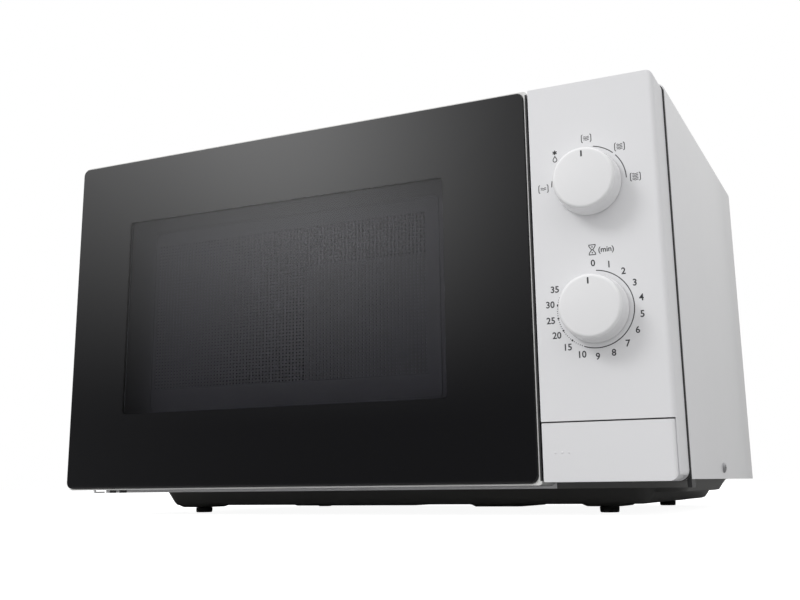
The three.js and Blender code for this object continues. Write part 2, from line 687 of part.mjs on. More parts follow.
function turntableMotor() {
  const can = rod('z', 24, panFloorTop + GAP - 2.4, 8, [0, 0], 28);
  const boss = rod('z', 9, 7, 12, [0, 0]);
  const ears = box(-32, 32, -6, 6, 5.5, 7);
  return cut(join(can, boss, ears), rod('z', COUPLER_RADIUS + RUNNING, 0, 15, [0, 0]));
}

function turntableCoupler() {
  const shaft = rod('z', COUPLER_RADIUS, 1, trayZ - GAP - 4, [0, 0]);
  const lobes = [];
  for (let i = 0; i < 3; i += 1) {
    const turn = (2 * Math.PI * i) / 3;
    const lobe = rod('z', 6, trayZ - 9, trayZ - GAP, [9 * Math.cos(turn), 9 * Math.sin(turn)], 16);
    lobes.push(lobe);
  }
  return join(shaft, rod('z', 9, trayZ - 9, trayZ - GAP, [0, 0]), ...lobes);
}

function rollerRing() {
  const shape = new THREE.Shape();
  const inner = new THREE.Path();
  shape.absarc(0, 0, WHEEL_TRACK - WHEEL_WIDTH / 2 - 1.2, 0, 2 * Math.PI, false);
  inner.absarc(0, 0, WHEEL_TRACK - WHEEL_WIDTH / 2 - 8, 0, 2 * Math.PI, true);
  shape.holes.push(inner);
  const ring = extrude(shape, 'z', wheelZ - 3, wheelZ + 3, 24);
  const axles = [];
  for (let i = 0; i < 3; i += 1) {
    const reach = [WHEEL_TRACK - WHEEL_WIDTH / 2 - 3, WHEEL_TRACK + WHEEL_WIDTH / 2 + 0.6];
    const geometry = new THREE.CylinderGeometry(AXLE_RADIUS, AXLE_RADIUS, reach[1] - reach[0], 12);
    geometry.rotateZ(Math.PI / 2);
    geometry.translate((reach[0] + reach[1]) / 2, 0, wheelZ);
    axles.push(solid(geometry.rotateZ((2 * Math.PI * i) / 3)));
  }
  return join(ring, ...axles);
}

function rollerWheel() {
  const bore = AXLE_RADIUS + RUNNING;
  const half = WHEEL_WIDTH / 2;
  return turned([
    [bore, -half], [WHEEL_RADIUS - 0.6, -half], [WHEEL_RADIUS, -half + 0.8], [WHEEL_RADIUS, half - 0.8],
    [WHEEL_RADIUS - 0.6, half], [bore, half], [bore, -half],
  ], 'y', 20);
}

function glassTray() {
  const r = TRAY_RADIUS;
  const rimTop = TRAY_HEIGHT;
  return turned([
    [0, 0], [r * 0.84, 0], [r * 0.93, 2.5], [r - 1, rimTop - 3.5], [r, rimTop - 1.5], [r - 1.2, rimTop],
    [r - 5, rimTop - 1.5], [r * 0.9, TRAY_WALL + 1.6], [r * 0.83, TRAY_WALL], [0, TRAY_WALL],
  ], 'z', 48);
}

// ---- Door ----

// The frame's corner blocks take the hinge pins; each has a notch that the hinge tab sits in.
const mirrorZ = (z) => DOOR_BOTTOM + doorTop - z;

// A box at the lower hinge corner and its twin at the upper one
function cornerBoxes(x0, x1, y0, y1, z0, z1) {
  return [box(x0, x1, y0, y1, z0, z1), box(x0, x1, y0, y1, mirrorZ(z1), mirrorZ(z0))];
}

function doorGlass() {
  return extrude(roundedRect(0.3, glassRight, 0, glassTop, GLASS_CORNER), 'y', 0, GLASS, 4);
}

function doorFrame() {
  const outline = roundedRect(0, doorRight, DOOR_BOTTOM, doorTop, [GLASS_CORNER, 2, 2, GLASS_CORNER]);
  const block = extrude(outline, 'y', 1.2, DOOR_DEPTH);
  const pocket = extrude(
    roundedRect(0.3 - GAP - 5, glassRight + GAP, -GAP, glassTop + GAP, GLASS_CORNER),
    'y', -5, GLASS + GAP, 4,
  );
  const back = box(
    FRAME_HINGE_WALL, doorRight - FRAME_WALL, GLASS + GAP + FRAME_FACE, DOOR_DEPTH + 5,
    DOOR_BOTTOM + FRAME_WALL, doorTop - FRAME_WALL,
  );
  const window = extrude(roundedRect(...frameWindow.x, ...frameWindow.z, 4), 'y', 0, DOOR_DEPTH);
  const corners = cornerBoxes(
    FRAME_HINGE_WALL - 1, notch.blockRight, notch.blockFront, DOOR_DEPTH,
    DOOR_BOTTOM + 1, DOOR_BOTTOM + notch.blockHeight,
  );
  const notches = cornerBoxes(
    -5, notch.right, notch.front, DOOR_DEPTH + 5, DOOR_BOTTOM - 5, DOOR_BOTTOM + notch.height,
  );
  const bores = [rod('z', PIN_RADIUS + RUNNING, DOOR_BOTTOM - 5, doorTop + 5, [HINGE_X, HINGE_Y])];
  const round = 6.5;
  const plan = roundedRect(0, doorRight + THROUGH, -THROUGH, DOOR_DEPTH, [0, 0, 0, round]);
  const swing = extrude(plan, 'z', -50, doorTop + 50);
  return cut(join(cut(block, pocket, back, window), ...corners), ...notches, ...bores).intersect(swing);
}

// Pressed steel panel with a folded choke rim; its perforated window is a plain sheet here
function doorPanel() {
  const { x, z } = steelPanel;
  const y = [CHOKE_PANEL_Y, CHOKE_PANEL_Y + SHEET];
  const sheet = box(...x, ...y, ...z);
  const rim = cut(
    box(...x, y[0], y[0] + CHOKE_RIM, ...z),
    box(x[0] + SHEET, x[1] - SHEET, y[0] - 5, y[0] + CHOKE_RIM + 5, z[0] + SHEET, z[1] - SHEET),
  );
  const corners = cornerBoxes(
    -5, notch.blockRight + GAP, 0, DOOR_DEPTH + 5, DOOR_BOTTOM - 5, DOOR_BOTTOM + notch.blockHeight + GAP,
  );
  return cut(join(sheet, rim), ...corners);
}

function chokeCover() {
  const x = [FRAME_HINGE_WALL + GAP, doorRight - FRAME_WALL - GAP];
  const z = [DOOR_BOTTOM + FRAME_WALL + GAP, doorTop - FRAME_WALL - GAP];
  const y = [CHOKE_PANEL_Y + CHOKE_RIM + GAP, DOOR_DEPTH - 0.2];
  const cover = roundedRect(...x, ...z, 1.5);
  cover.holes.push(roundedRect(frameWindow.x[0] + 6, frameWindow.x[1] - 6, ...frameWindow.z, 5));
  const corners = cornerBoxes(
    -5, notch.blockRight + GAP, 0, DOOR_DEPTH + 5, DOOR_BOTTOM - 5, DOOR_BOTTOM + notch.blockHeight + GAP,
  );
  const slots = hookHeights.map((at) => box(
    hookX - 1, hookX + HOOK_THICKNESS + 1, 0, DOOR_DEPTH + 5, at - 6, at + 10 + HOOK_LIFT,
  ));
  return cut(extrude(cover, 'y', ...y), ...corners, ...slots);
}

// Both hooks on one bar; they pass through the front plate into the latch board
function latchHook() {
  const shape = new THREE.Shape();
  const bar = [17, CHOKE_PANEL_Y + 4];
  const tip = plateY + 17;
  const [low, high] = hookHeights;
  shape.moveTo(bar[0], low - 14);
  shape.lineTo(bar[1], low - 14);
  for (const z of [low, high]) {
    shape.lineTo(bar[1], z);
    shape.lineTo(tip - 8, z);
    shape.lineTo(tip - 7, z - 4);
    shape.lineTo(tip - 4, z - 4);
    shape.lineTo(tip, z + 3);
    shape.lineTo(tip - 2, z + 8);
    shape.lineTo(bar[1], z + 8);
  }
  shape.lineTo(bar[1], high + 22);
  shape.lineTo(bar[0], high + 22);
  shape.closePath();
  return extrude(shape, 'x', hookX, hookX + HOOK_THICKNESS);
}

// A tab under (or over) the door's corner block, with its pin, and a leaf behind the front plate
function hinge(level) {
  const z = [DOOR_BOTTOM + 2.2, DOOR_BOTTOM + 2.2 + HINGE_SHEET].map(level).sort((a, b) => a - b);
  const leafZ = [DOOR_BOTTOM + 2.2, DOOR_BOTTOM + 28.2].map(level).sort((a, b) => a - b);
  const pinZ = [DOOR_BOTTOM + 2.2, DOOR_BOTTOM + 3.7 + PIN_LENGTH].map(level).sort((a, b) => a - b);
  const leafY = plateY + SHEET + GAP;
  const plan = new THREE.Shape();
  plan.moveTo(HINGE_X - HINGE_TAB, leafY + HINGE_SHEET);
  plan.lineTo(HINGE_X - HINGE_TAB, HINGE_Y);
  plan.absarc(HINGE_X, HINGE_Y, HINGE_TAB, Math.PI, 2 * Math.PI, false);
  plan.lineTo(HINGE_X + HINGE_TAB, leafY + HINGE_SHEET);
  plan.closePath();
  const tab = extrude(plan, 'z', ...z, 6);
  const leaf = box(HINGE_X - HINGE_TAB, HINGE_X + HINGE_TAB + 4, leafY, leafY + HINGE_SHEET, ...leafZ);
  const pin = rod('z', PIN_RADIUS, ...pinZ, [HINGE_X, HINGE_Y], 20);
  return join(tab, leaf, pin);
}

// ---- Control panel ----

function panelBlock(inset) {
  const x = [panelX + inset, WIDTH - inset];
  const z = [PANEL_BOTTOM + inset, panelTop - inset];
  const corner = PANEL_CORNER - inset;
  const edge = PANEL_EDGE - inset;
  const face = roundedRect(...x, ...z, [1, corner, corner, 1]);
  const rear = inset > 0 ? DOOR_DEPTH + 10 : DOOR_DEPTH;
  const plan = roundedRect(...x, inset, rear, [0.6, edge, 0, 0]);
  const along = extrude(face, 'y', inset, rear, 5);
  return along.intersect(extrude(plan, 'z', z[0] - 1, z[1] + 1, 5));
}

function controlPanel() {
  const shell = cut(panelBlock(0), panelBlock(PANEL_WALL));
  const buttonRoom = box(
    panelX - THROUGH, buttonRight + SPLIT - 0.2, -THROUGH, BUTTON_DEPTH + BUTTON_TRAVEL + 1,
    PANEL_BOTTOM - THROUGH, buttonTop + SPLIT,
  );
  const holes = [powerDialZ, timerDialZ].map((z) => rod('y', SHAFT_RADIUS + 2, -5, 10, [dialX, z]));
  const bosses = [];
  for (const x of [panelX + 7, WIDTH - 9]) {
    for (const z of [buttonTop + 22, panelTop - 11]) {
      bosses.push(rod('y', 3.5, PANEL_WALL - 0.5, DOOR_DEPTH, [x, z], 12));
    }
  }
  const shelf = box(
    panelX + 1, WIDTH - 2, PANEL_WALL - 0.5, DOOR_DEPTH - 8,
    buttonTop + SPLIT, buttonTop + SPLIT + PANEL_WALL,
  );
  return join(cut(shell, buttonRoom, ...holes), ...bosses, shelf);
}

function releaseButton() {
  const x = [panelX + 0.3, buttonRight];
  const z = [PANEL_BOTTOM + 0.2, buttonTop];
  const radii = [1, 4.5, 0.8, 0.8];
  const block = extrude(roundedRect(...x, ...z, radii), 'y', 0, BUTTON_DEPTH, 4);
  const wall = 2.2;
  const inside = roundedRect(x[0] + wall, x[1] - wall, z[0] + wall, z[1] - wall, [0.5, 2.5, 0.5, 0.5]);
  const hollow = extrude(inside, 'y', wall + 0.2, BUTTON_DEPTH + THROUGH);
  const post = box(panelX + 3.6, panelX + 11.6, 2, plateY - POST_SHORT_OF_PLATE, 15, 22);
  return join(cut(block, hollow), post);
}

function knob() {
  const face = -KNOB_HEIGHT;
  const round = 2.4;
  const profile = [[0, face], [KNOB_FACE_RADIUS - round, face]];
  for (let i = 1; i <= 3; i += 1) {
    const turn = (i / 3) * (Math.PI / 2);
    profile.push([
      KNOB_FACE_RADIUS - round + round * Math.sin(turn), face + round - round * Math.cos(turn),
    ]);
  }
  const bore = SHAFT_RADIUS + GAP;
  profile.push(
    [KNOB_RADIUS - 0.7, -4], [KNOB_RADIUS, 0], [KNOB_RADIUS - KNOB_WALL, 0],
    [KNOB_FACE_RADIUS - KNOB_WALL, face + KNOB_WALL], [SHAFT_RADIUS + 3, face + KNOB_WALL],
    [SHAFT_RADIUS + 3, -1], [bore, -1], [bore, face + 4], [0, face + 4],
  );
  return turned(profile, 'y', 30);
}

// A D-section shaft, from inside the knob to inside the mechanism behind the panel

function knobShaft(rearEnd) {
  const front = -KNOB_STANDOFF - KNOB_HEIGHT + 4 + GAP;
  const flat = box(-10, 10, front - 1, 0, SHAFT_RADIUS * 0.55, 10);
  return cut(rod('y', SHAFT_RADIUS, front, rearEnd, [0, 0]), flat);
}

function switchBox(half, depth) {
  const body = box(-half, half, 0, depth, -half, half);
  const tabs = [-1, 1].map((side) => box(side * half - 4, side * half + 4, 2, 3.5, -5, 5));
  const bore = rod('y', SHAFT_RADIUS + RUNNING, -5, depth - 4, [0, 0]);
  return cut(join(body, ...tabs), bore);
}

// ---- Latch board, switches and release lever ----

function latchBoard() {
  const { x, wall, y, z } = latch;
  const face = box(...x, y[0], y[0] + wall, ...z);
  const side = box(x[1] - wall, x[1], ...y, ...z);
  const slots = hookHeights.map((at) => box(
    hookX - 2, x[1] - wall, y[0] - 5, y[0] + wall + 2, at - 6, at + 14,
  ));
  const pin = rod('x', pivot.radius, x[1] - 1, lever.x[1] + 2, [pivot.y, pivot.z], 16);
  return join(cut(join(face, side), ...slots), pin);
}

function releaseLever() {
  const shape = new THREE.Shape();
  const pushY = plateY - POST_SHORT_OF_PLATE + GAP;
  shape.moveTo(pushY, lever.contactZ - 5);
  shape.lineTo(pushY + 7, lever.contactZ - 6);
  shape.lineTo(pivot.y + 6, pivot.z - 6);
  shape.lineTo(pivot.y + 6, pivot.z + 20);
  shape.lineTo(pivot.y - 3, pivot.z + 20);
  shape.lineTo(pivot.y - 6, pivot.z - 2);
  shape.lineTo(pushY + 1, lever.contactZ + 5);
  shape.closePath();
  const bore = rod('x', pivot.radius + RUNNING, lever.x[0] - 5, lever.x[1] + 5, [pivot.y, pivot.z], 20);
  return cut(extrude(shape, 'x', ...lever.x), bore);
}

function microSwitch() {
  const body = box(-micro.x / 2, micro.x / 2, 0, micro.y, -micro.z / 2, micro.z / 2);
  const terminals = [-9, 0, 9].map((z) => box(-2, 2, micro.y - 1, micro.y + 6, z - 0.4, z + 0.4));
  const well = box(-2, 2, -5, 6, 4 - micro.hole, 4 + micro.hole);
  return cut(join(body, ...terminals), well);
}

function switchPlunger() {
  const reach = micro.hole - GAP;
  return box(-2 + GAP, 2 - GAP, -micro.plunger, 4, 4 - reach, 4 + reach);
}

// ---- Assembly ----

place('outer_cabinet', outerCabinet(), FINISH.enamel);
place('front_plate', frontPlate(), FINISH.enamel);
place('rear_panel', rearPanel(), FINISH.zinc);
place('base_pan', basePan(), FINISH.darkSteel);
place('cord_gland', cordGland(), FINISH.rubber, oven, [gland.x, 0, gland.z]);
footPlaces.forEach(([x, y], i) => {
  const side = x < WIDTH / 2 ? 'left' : 'right';
  place(`foot_${i % 2 === 0 ? 'front' : 'rear'}_${side}`, foot(), FINISH.rubber, oven, [x, y, 0]);
});

for (const [name, plate] of Object.entries(cavityPlates())) {
  place(name, plate, FINISH.cavityEnamel);
}
place('waveguide', waveguide(), FINISH.zinc);
place('waveguide_cover', waveguideCover(), FINISH.mica);
place('magnetron', magnetron(), FINISH.aluminium);
place('transformer_core', transformerCore(), FINISH.laminate);
place('primary_coil', transformerCoil(coilWindow.z[0] + GAP, coilSplit - GAP), FINISH.copper);
place('secondary_coil', transformerCoil(coilSplit + GAP, coilWindow.z[1] - GAP), FINISH.copper);
place('capacitor', capacitorCan(), FINISH.aluminium);
place('capacitor_clamp', capacitorClamp(), FINISH.zinc);
place('hv_diode', diode(), FINISH.blackPlastic);
place('filter_board', filterBoard(), FINISH.board);
place('fan_housing', fanHousing(), FINISH.greyPlastic);
place('fan_motor', fanMotor(), FINISH.laminate);
place('fan_blade', fanBlade(), FINISH.greyPlastic, oven, [fan.x, 0, fan.z]);
place('lamp_holder', lampHolder(), FINISH.greyPlastic);
place('cavity_lamp', cavityLamp(), FINISH.clearGlass);
place('thermal_cutout', thermalCutout(), FINISH.blackPlastic);

const turntable = new THREE.Group();
turntable.position.set(cavityMiddleX, cavityMiddleY, 0);
oven.add(turntable);
place('turntable_motor', turntableMotor(), FINISH.zinc, turntable);
place('turntable_coupler', turntableCoupler(), FINISH.greyPlastic, turntable);
place('roller_ring', rollerRing(), FINISH.greyPlastic, turntable);
for (let i = 0; i < 3; i += 1) {
  const turn = (2 * Math.PI * i) / 3;
  const at = [WHEEL_TRACK * Math.cos(turn), WHEEL_TRACK * Math.sin(turn), wheelZ];
  const wheel = place(`roller_wheel_${i + 1}`, rollerWheel(), FINISH.greyPlastic, turntable, at);
  wheel.rotation.z = turn - Math.PI / 2;
}
place('glass_tray', glassTray(), FINISH.clearGlass, turntable, [0, 0, trayZ]);

place('door_glass', doorGlass(), FINISH.blackGlass);
place('door_frame', doorFrame(), FINISH.greyPlastic);
place('door_panel', doorPanel(), FINISH.darkSteel);
place('choke_cover', chokeCover(), FINISH.blackPlastic);
place('latch_hook', latchHook(), FINISH.greyPlastic);
place('lower_hinge', hinge((z) => z), FINISH.zinc);
place('upper_hinge', hinge(mirrorZ), FINISH.zinc);

place('control_panel', controlPanel(), FINISH.whitePlastic);
place('door_release_button', releaseButton(), FINISH.whitePlastic);
place('power_knob', knob(), FINISH.knob, oven, [dialX, -KNOB_STANDOFF, powerDialZ]);
place('timer_knob', knob(), FINISH.knob, oven, [dialX, -KNOB_STANDOFF, timerDialZ]);
const powerRear = timer.y + selector.depth - 4 - GAP;
const timerRear = timer.y + timer.depth - 4 - GAP;
place('power_shaft', knobShaft(powerRear), FINISH.zinc, oven, [dialX, 0, powerDialZ]);
place('timer_shaft', knobShaft(timerRear), FINISH.zinc, oven, [dialX, 0, timerDialZ]);
const selectorBox = switchBox(selector.half, selector.depth);
place('power_selector', selectorBox, FINISH.blackPlastic, oven, [dialX, timer.y, powerDialZ]);
const timerMotor = rod('y', 21, timer.depth - 1, timer.depth + 13, [0, 0], 32);
const timerBox = join(switchBox(timer.half, timer.depth), timerMotor);
place('timer_unit', timerBox, FINISH.zinc, oven, [dialX, timer.y, timerDialZ]);

place('latch_board', latchBoard(), FINISH.greyPlastic);
place('release_lever', releaseLever(), FINISH.greyPlastic);
const switchY = plateY + 17 + micro.plunger + 1;
const switches = { primary: hookHeights[0], monitor: hookHeights[0] + 46, secondary: hookHeights[1] };
const switchX = latch.x[1] - latch.wall - GAP - micro.x / 2;
for (const [name, z] of Object.entries(switches)) {
  place(`${name}_switch`, microSwitch(), FINISH.blackPlastic, oven, [switchX, switchY, z]);
  place(`${name}_plunger`, switchPlunger(), FINISH.rubber, oven, [switchX, switchY, z]);
}

// Move the drawing corner so that the origin is under the middle of the oven
const front = -KNOB_STANDOFF - KNOB_HEIGHT;
const rear = rearPanelY + SHEET + GAP + 9.8;
oven.position.set(-WIDTH / 2, -(front + rear) / 2, -FOOT_BOTTOM);

export default oven;
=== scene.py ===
"""The looks of a countertop microwave oven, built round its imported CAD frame."""
import contextlib
import json
import math

import bmesh
import bpy
from mathutils import Euler, Matrix, Vector


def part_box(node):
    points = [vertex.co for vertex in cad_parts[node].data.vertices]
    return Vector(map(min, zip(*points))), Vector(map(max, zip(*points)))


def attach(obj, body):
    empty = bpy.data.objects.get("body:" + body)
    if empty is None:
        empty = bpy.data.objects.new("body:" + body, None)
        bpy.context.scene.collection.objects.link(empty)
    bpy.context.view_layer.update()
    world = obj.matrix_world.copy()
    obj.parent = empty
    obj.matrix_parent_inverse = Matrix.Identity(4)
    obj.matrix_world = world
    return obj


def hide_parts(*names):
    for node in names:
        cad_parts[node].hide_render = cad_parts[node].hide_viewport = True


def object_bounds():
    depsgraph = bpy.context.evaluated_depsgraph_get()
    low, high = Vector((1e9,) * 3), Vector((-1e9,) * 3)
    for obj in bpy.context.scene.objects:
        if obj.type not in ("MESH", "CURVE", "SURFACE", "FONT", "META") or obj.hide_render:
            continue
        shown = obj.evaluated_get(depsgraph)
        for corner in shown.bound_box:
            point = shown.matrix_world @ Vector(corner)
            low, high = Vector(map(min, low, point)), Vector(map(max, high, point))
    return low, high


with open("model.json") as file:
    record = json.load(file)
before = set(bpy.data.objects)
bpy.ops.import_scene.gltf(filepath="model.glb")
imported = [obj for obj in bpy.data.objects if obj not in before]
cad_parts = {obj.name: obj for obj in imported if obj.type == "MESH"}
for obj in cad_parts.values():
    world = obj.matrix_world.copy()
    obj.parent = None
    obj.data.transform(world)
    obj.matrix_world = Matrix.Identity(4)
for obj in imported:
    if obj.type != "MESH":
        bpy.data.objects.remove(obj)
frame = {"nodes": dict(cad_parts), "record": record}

rest_low, rest_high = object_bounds()
MM = 0.001
scene = bpy.context.scene


def edges_of(node):
    """A CAD node's box as x0, x1, y0, y1, z0, z1, in millimetres."""
    return tuple(at / MM for ends in zip(*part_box(node)) for at in ends)


def middle_of(start, end):
    return (start + end) / 2


# ---- Shader groups shared by the finishes ----

FLOAT, COLOUR, VECTOR = "NodeSocketFloat", "NodeSocketColor", "NodeSocketVector"


def node_group(kind, name, inputs, outputs):
    """An empty group, with the sockets that it is given and those that it gives."""
    tree = bpy.data.node_groups.new(name, kind)
    for socket_kind, label, value in inputs:
        socket = tree.interface.new_socket(label, in_out="INPUT", socket_type=socket_kind)
        if value is not None:
            socket.default_value = value
    for socket_kind, label in outputs:
        tree.interface.new_socket(label, in_out="OUTPUT", socket_type=socket_kind)
    return tree, tree.nodes.new("NodeGroupInput").outputs, tree.nodes.new("NodeGroupOutput").inputs


def feed(tree, made, values):
    """Sets a node's sockets, by name or as i0, i1 and so on, to a value or from another socket."""
    for key, value in values.items():
        numbered = key[0] == "i" and key[1:].isdigit()
        socket = made.inputs[int(key[1:]) if numbered else key.replace("_", " ")]
        if isinstance(value, bpy.types.NodeSocket):
            tree.links.new(value, socket)
        else:
            socket.default_value = value
    return made


def node(tree, kind, settings=None, **values):
    made = tree.nodes.new(kind)
    for key, value in (settings or {}).items():
        setattr(made, key, value)
    return feed(tree, made, values)


def maths(tree, operation, first, second=0.0, clamp=False):
    settings = {"operation": operation, "use_clamp": clamp}
    return node(tree, "ShaderNodeMath", settings, i0=first, i1=second).outputs[0]


def vectors(tree, operation, first, second):
    return node(tree, "ShaderNodeVectorMath", {"operation": operation}, i0=first, i1=second).outputs


def place_in(tree):
    return node(tree, "ShaderNodeTexCoord").outputs["Object"]


def facing_in(tree):
    return node(tree, "ShaderNodeNewGeometry").outputs["Normal"]


def noise(tree, place, **values):
    return node(tree, "ShaderNodeTexNoise", Vector=place, **values).outputs["Fac"]


def blend(tree, share, first, second):
    return node(tree, "ShaderNodeMix", {"data_type": "RGBA"}, Factor=share, i6=first, i7=second).outputs[2]


def give(tree, out, **results):
    for label, socket in results.items():
        tree.links.new(socket, out[label])
    return tree


def fine_grain_group():
    """The orange peel of a powder coat, or the grain of a moulding, as a height."""
    tree, given, out = node_group(
        "ShaderNodeTree", "fine_grain", [(FLOAT, "Scale", 900.0)], [(FLOAT, "Height")])
    return give(tree, out, Height=noise(tree, place_in(tree), Scale=given["Scale"], Detail=2.0))


def handled_group():
    """Where hands and cloths have been: a faint change of gloss over a smooth surface."""
    tree, given, out = node_group(
        "ShaderNodeTree", "handled", [(FLOAT, "Roughness", 0.3), (FLOAT, "Amount", 0.08)],
        [(FLOAT, "Roughness")])
    centred = maths(tree, "SUBTRACT", noise(tree, place_in(tree), Scale=14.0, Detail=4.0), 0.5)
    change = maths(tree, "MULTIPLY", centred, given["Amount"])
    return give(tree, out, Roughness=maths(tree, "ADD", given["Roughness"], change, True))


def edge_wear_group():
    """The surface colour, with the colour below showing where an edge has been rubbed."""
    tree, given, out = node_group(
        "ShaderNodeTree", "edge_wear",
        [(COLOUR, "Surface", (0.8, 0.8, 0.8, 1)), (COLOUR, "Under", (0.5, 0.5, 0.5, 1)),
         (FLOAT, "Width", 0.0006), (FLOAT, "Amount", 0.2)], [(COLOUR, "Color")])
    rounded = node(tree, "ShaderNodeBevel", {"samples": 4}, Radius=given["Width"]).outputs[0]
    dot = vectors(tree, "DOT_PRODUCT", rounded, facing_in(tree))["Value"]
    patchy = maths(tree, "MULTIPLY", maths(tree, "SUBTRACT", 1.0, dot, True),
                   noise(tree, place_in(tree), Scale=90.0, Detail=3.0))
    mask = maths(tree, "MULTIPLY", patchy, given["Amount"], True)
    return give(tree, out, Color=blend(tree, mask, given["Surface"], given["Under"]))


DUST = (0.5, 0.48, 0.44, 1)


def settled_dust_group():
    """A little dust on what faces up."""
    tree, given, out = node_group(
        "ShaderNodeTree", "settled_dust",
        [(COLOUR, "Surface", (0.8, 0.8, 0.8, 1)), (FLOAT, "Amount", 0.1)], [(COLOUR, "Color")])
    up = maths(tree, "MAXIMUM", node(tree, "ShaderNodeSeparateXYZ", i0=facing_in(tree)).outputs["Z"], 0.0)
    patchy = maths(tree, "MULTIPLY", up, noise(tree, place_in(tree), Scale=45.0, Detail=5.0))
    mask = maths(tree, "MULTIPLY", patchy, given["Amount"], True)
    return give(tree, out, Color=blend(tree, mask, given["Surface"], DUST))


def rolled_lines_group():
    """Lines left by rolling or brushing along one direction."""
    tree, given, out = node_group(
        "ShaderNodeTree", "rolled_lines", [(VECTOR, "Spacing", (60.0, 60.0, 900.0))], [(FLOAT, "Height")])
    scaled = vectors(tree, "MULTIPLY", place_in(tree), given["Spacing"])[0]
    return give(tree, out, Height=noise(tree, scaled, Scale=1.0, Detail=2.0))


def stacked_wires_group():
    """Round wires or plates lying side by side: a wave along one direction."""
    tree, given, out = node_group(
        "ShaderNodeTree", "stacked_wires",
        [(FLOAT, "Pitch", 700.0), (VECTOR, "Along", (0.0, 0.0, 1.0)), (COLOUR, "Surface", (0.5, 0.3, 0.1, 1)),
         (COLOUR, "Gap", (0.1, 0.05, 0.02, 1))], [(FLOAT, "Height"), (COLOUR, "Color")])
    along = vectors(tree, "DOT_PRODUCT", place_in(tree), given["Along"])["Value"]
    turn = maths(tree, "MULTIPLY", maths(tree, "MULTIPLY", along, given["Pitch"]), math.pi)
    wave = maths(tree, "ABSOLUTE", maths(tree, "SINE", turn))
    return give(tree, out, Height=wave, Color=blend(tree, wave, given["Gap"], given["Surface"]))


fine_grain = fine_grain_group()
handled = handled_group()
edge_wear = edge_wear_group()
settled_dust = settled_dust_group()
rolled_lines = rolled_lines_group()
stacked_wires = stacked_wires_group()


def use_group(tree, group, **values):
    return node(tree, "ShaderNodeGroup", {"node_tree": group}, **values).outputs


def finish(name, colour, roughness, metallic=0.0, grain=None, lines=None, wires=None, wear=None, dust=0.0,
           touched=0.06, coat=0.0, transmission=0.0, ior=1.5, bump=0.15):
    """One finish. grain is its scale; lines is a spacing; wires is a pitch, direction and gap colour;
    wear is the colour below, a width and an amount."""
    material = bpy.data.materials.new(name)
    material.use_nodes = True
    tree = material.node_tree
    source, height = (*colour, 1), None
    if wires:
        pitch, along, gap = wires
        made = use_group(tree, stacked_wires, Pitch=pitch, Along=along, Surface=source, Gap=(*gap, 1))
        height, source = made["Height"], made["Color"]
    if wear:
        under, width, amount = wear
        worn = use_group(tree, edge_wear, Under=(*under, 1), Width=width, Amount=amount, Surface=source)
        source = worn["Color"]
    if dust:
        source = use_group(tree, settled_dust, Amount=dust, Surface=source)["Color"]
    if grain:
        height = use_group(tree, fine_grain, Scale=grain)["Height"]
    if lines:
        height = use_group(tree, rolled_lines, Spacing=lines)["Height"]
    gloss = use_group(tree, handled, Roughness=roughness, Amount=touched)["Roughness"]
    surface = feed(tree, tree.nodes["Principled BSDF"], {
        "Base Color": source, "Metallic": metallic, "Roughness": gloss, "IOR": ior, "Coat Weight": coat,
        "Coat Roughness": 0.08, "Transmission Weight": transmission})
    if height is not None:
        raised = node(tree, "ShaderNodeBump", Strength=bump, Distance=0.0002, Height=height)
        tree.links.new(raised.outputs["Normal"], surface.inputs["Normal"])
    return material


STEEL = (0.42, 0.42, 0.43)
white_coat = finish("white powder coat", (0.80, 0.80, 0.815), 0.24, grain=700.0, bump=0.05, coat=0.25,
                    wear=(STEEL, 0.0005, 0.12), dust=0.03)
white_moulding = finish("satin white moulding", (0.80, 0.80, 0.815), 0.38, grain=1500.0, bump=0.06,
                        wear=((0.7, 0.69, 0.66), 0.0005, 0.15), dust=0.03)
dial_moulding = finish("smooth white dial moulding", (0.84, 0.84, 0.85), 0.26, grain=1100.0, bump=0.04,
                       coat=0.2, wear=((0.74, 0.73, 0.7), 0.0004, 0.12))
black_print = finish("glass over black print", (0.006, 0.006, 0.007), 0.02, ior=1.52, touched=0.02)
tinted_glass = finish("tinted door glass", (0.42, 0.42, 0.455), 0.015, transmission=1.0, ior=1.38, touched=0.02)
black_moulding = finish("black moulding", (0.02, 0.02, 0.021), 0.45, grain=1200.0, bump=0.12,
                        wear=((0.09, 0.09, 0.09), 0.0005, 0.3), dust=0.12)
frame_moulding = finish("grey door moulding", (0.74, 0.74, 0.73), 0.4, grain=1200.0, bump=0.1,
                        wear=((0.62, 0.62, 0.61), 0.0005, 0.2))
grey_moulding = finish("natural grey moulding", (0.52, 0.52, 0.51), 0.42, grain=1100.0, bump=0.12,
                       wear=((0.64, 0.64, 0.62), 0.0005, 0.25), dust=0.06)
red_moulding = finish("red plunger moulding", (0.42, 0.03, 0.02), 0.35, grain=1600.0, bump=0.1)
clear_glass = finish("pressed clear glass", (0.93, 0.97, 0.96), 0.03, transmission=1.0, ior=1.5, grain=60.0,
                     bump=0.05, touched=0.03)
oven_enamel = finish("grey oven enamel", (0.40, 0.41, 0.42), 0.28, grain=420.0, bump=0.12, coat=0.3,
                     wear=((0.3, 0.3, 0.3), 0.0006, 0.2), dust=0.04)
zinc = finish("zinc-plated sheet", (0.55, 0.56, 0.56), 0.36, metallic=0.9, lines=(90.0, 90.0, 900.0), bump=0.05,
              wear=((0.36, 0.35, 0.33), 0.0006, 0.3), dust=0.12)
dark_coat = finish("dark coated sheet", (0.12, 0.119, 0.116), 0.55, grain=800.0, bump=0.15,
                   wear=((0.25, 0.25, 0.25), 0.0006, 0.25), dust=0.06)
door_steel = finish("dark coated door steel", (0.17, 0.17, 0.175), 0.4, grain=800.0, bump=0.1,
                    wear=((0.3, 0.3, 0.3), 0.0004, 0.2))
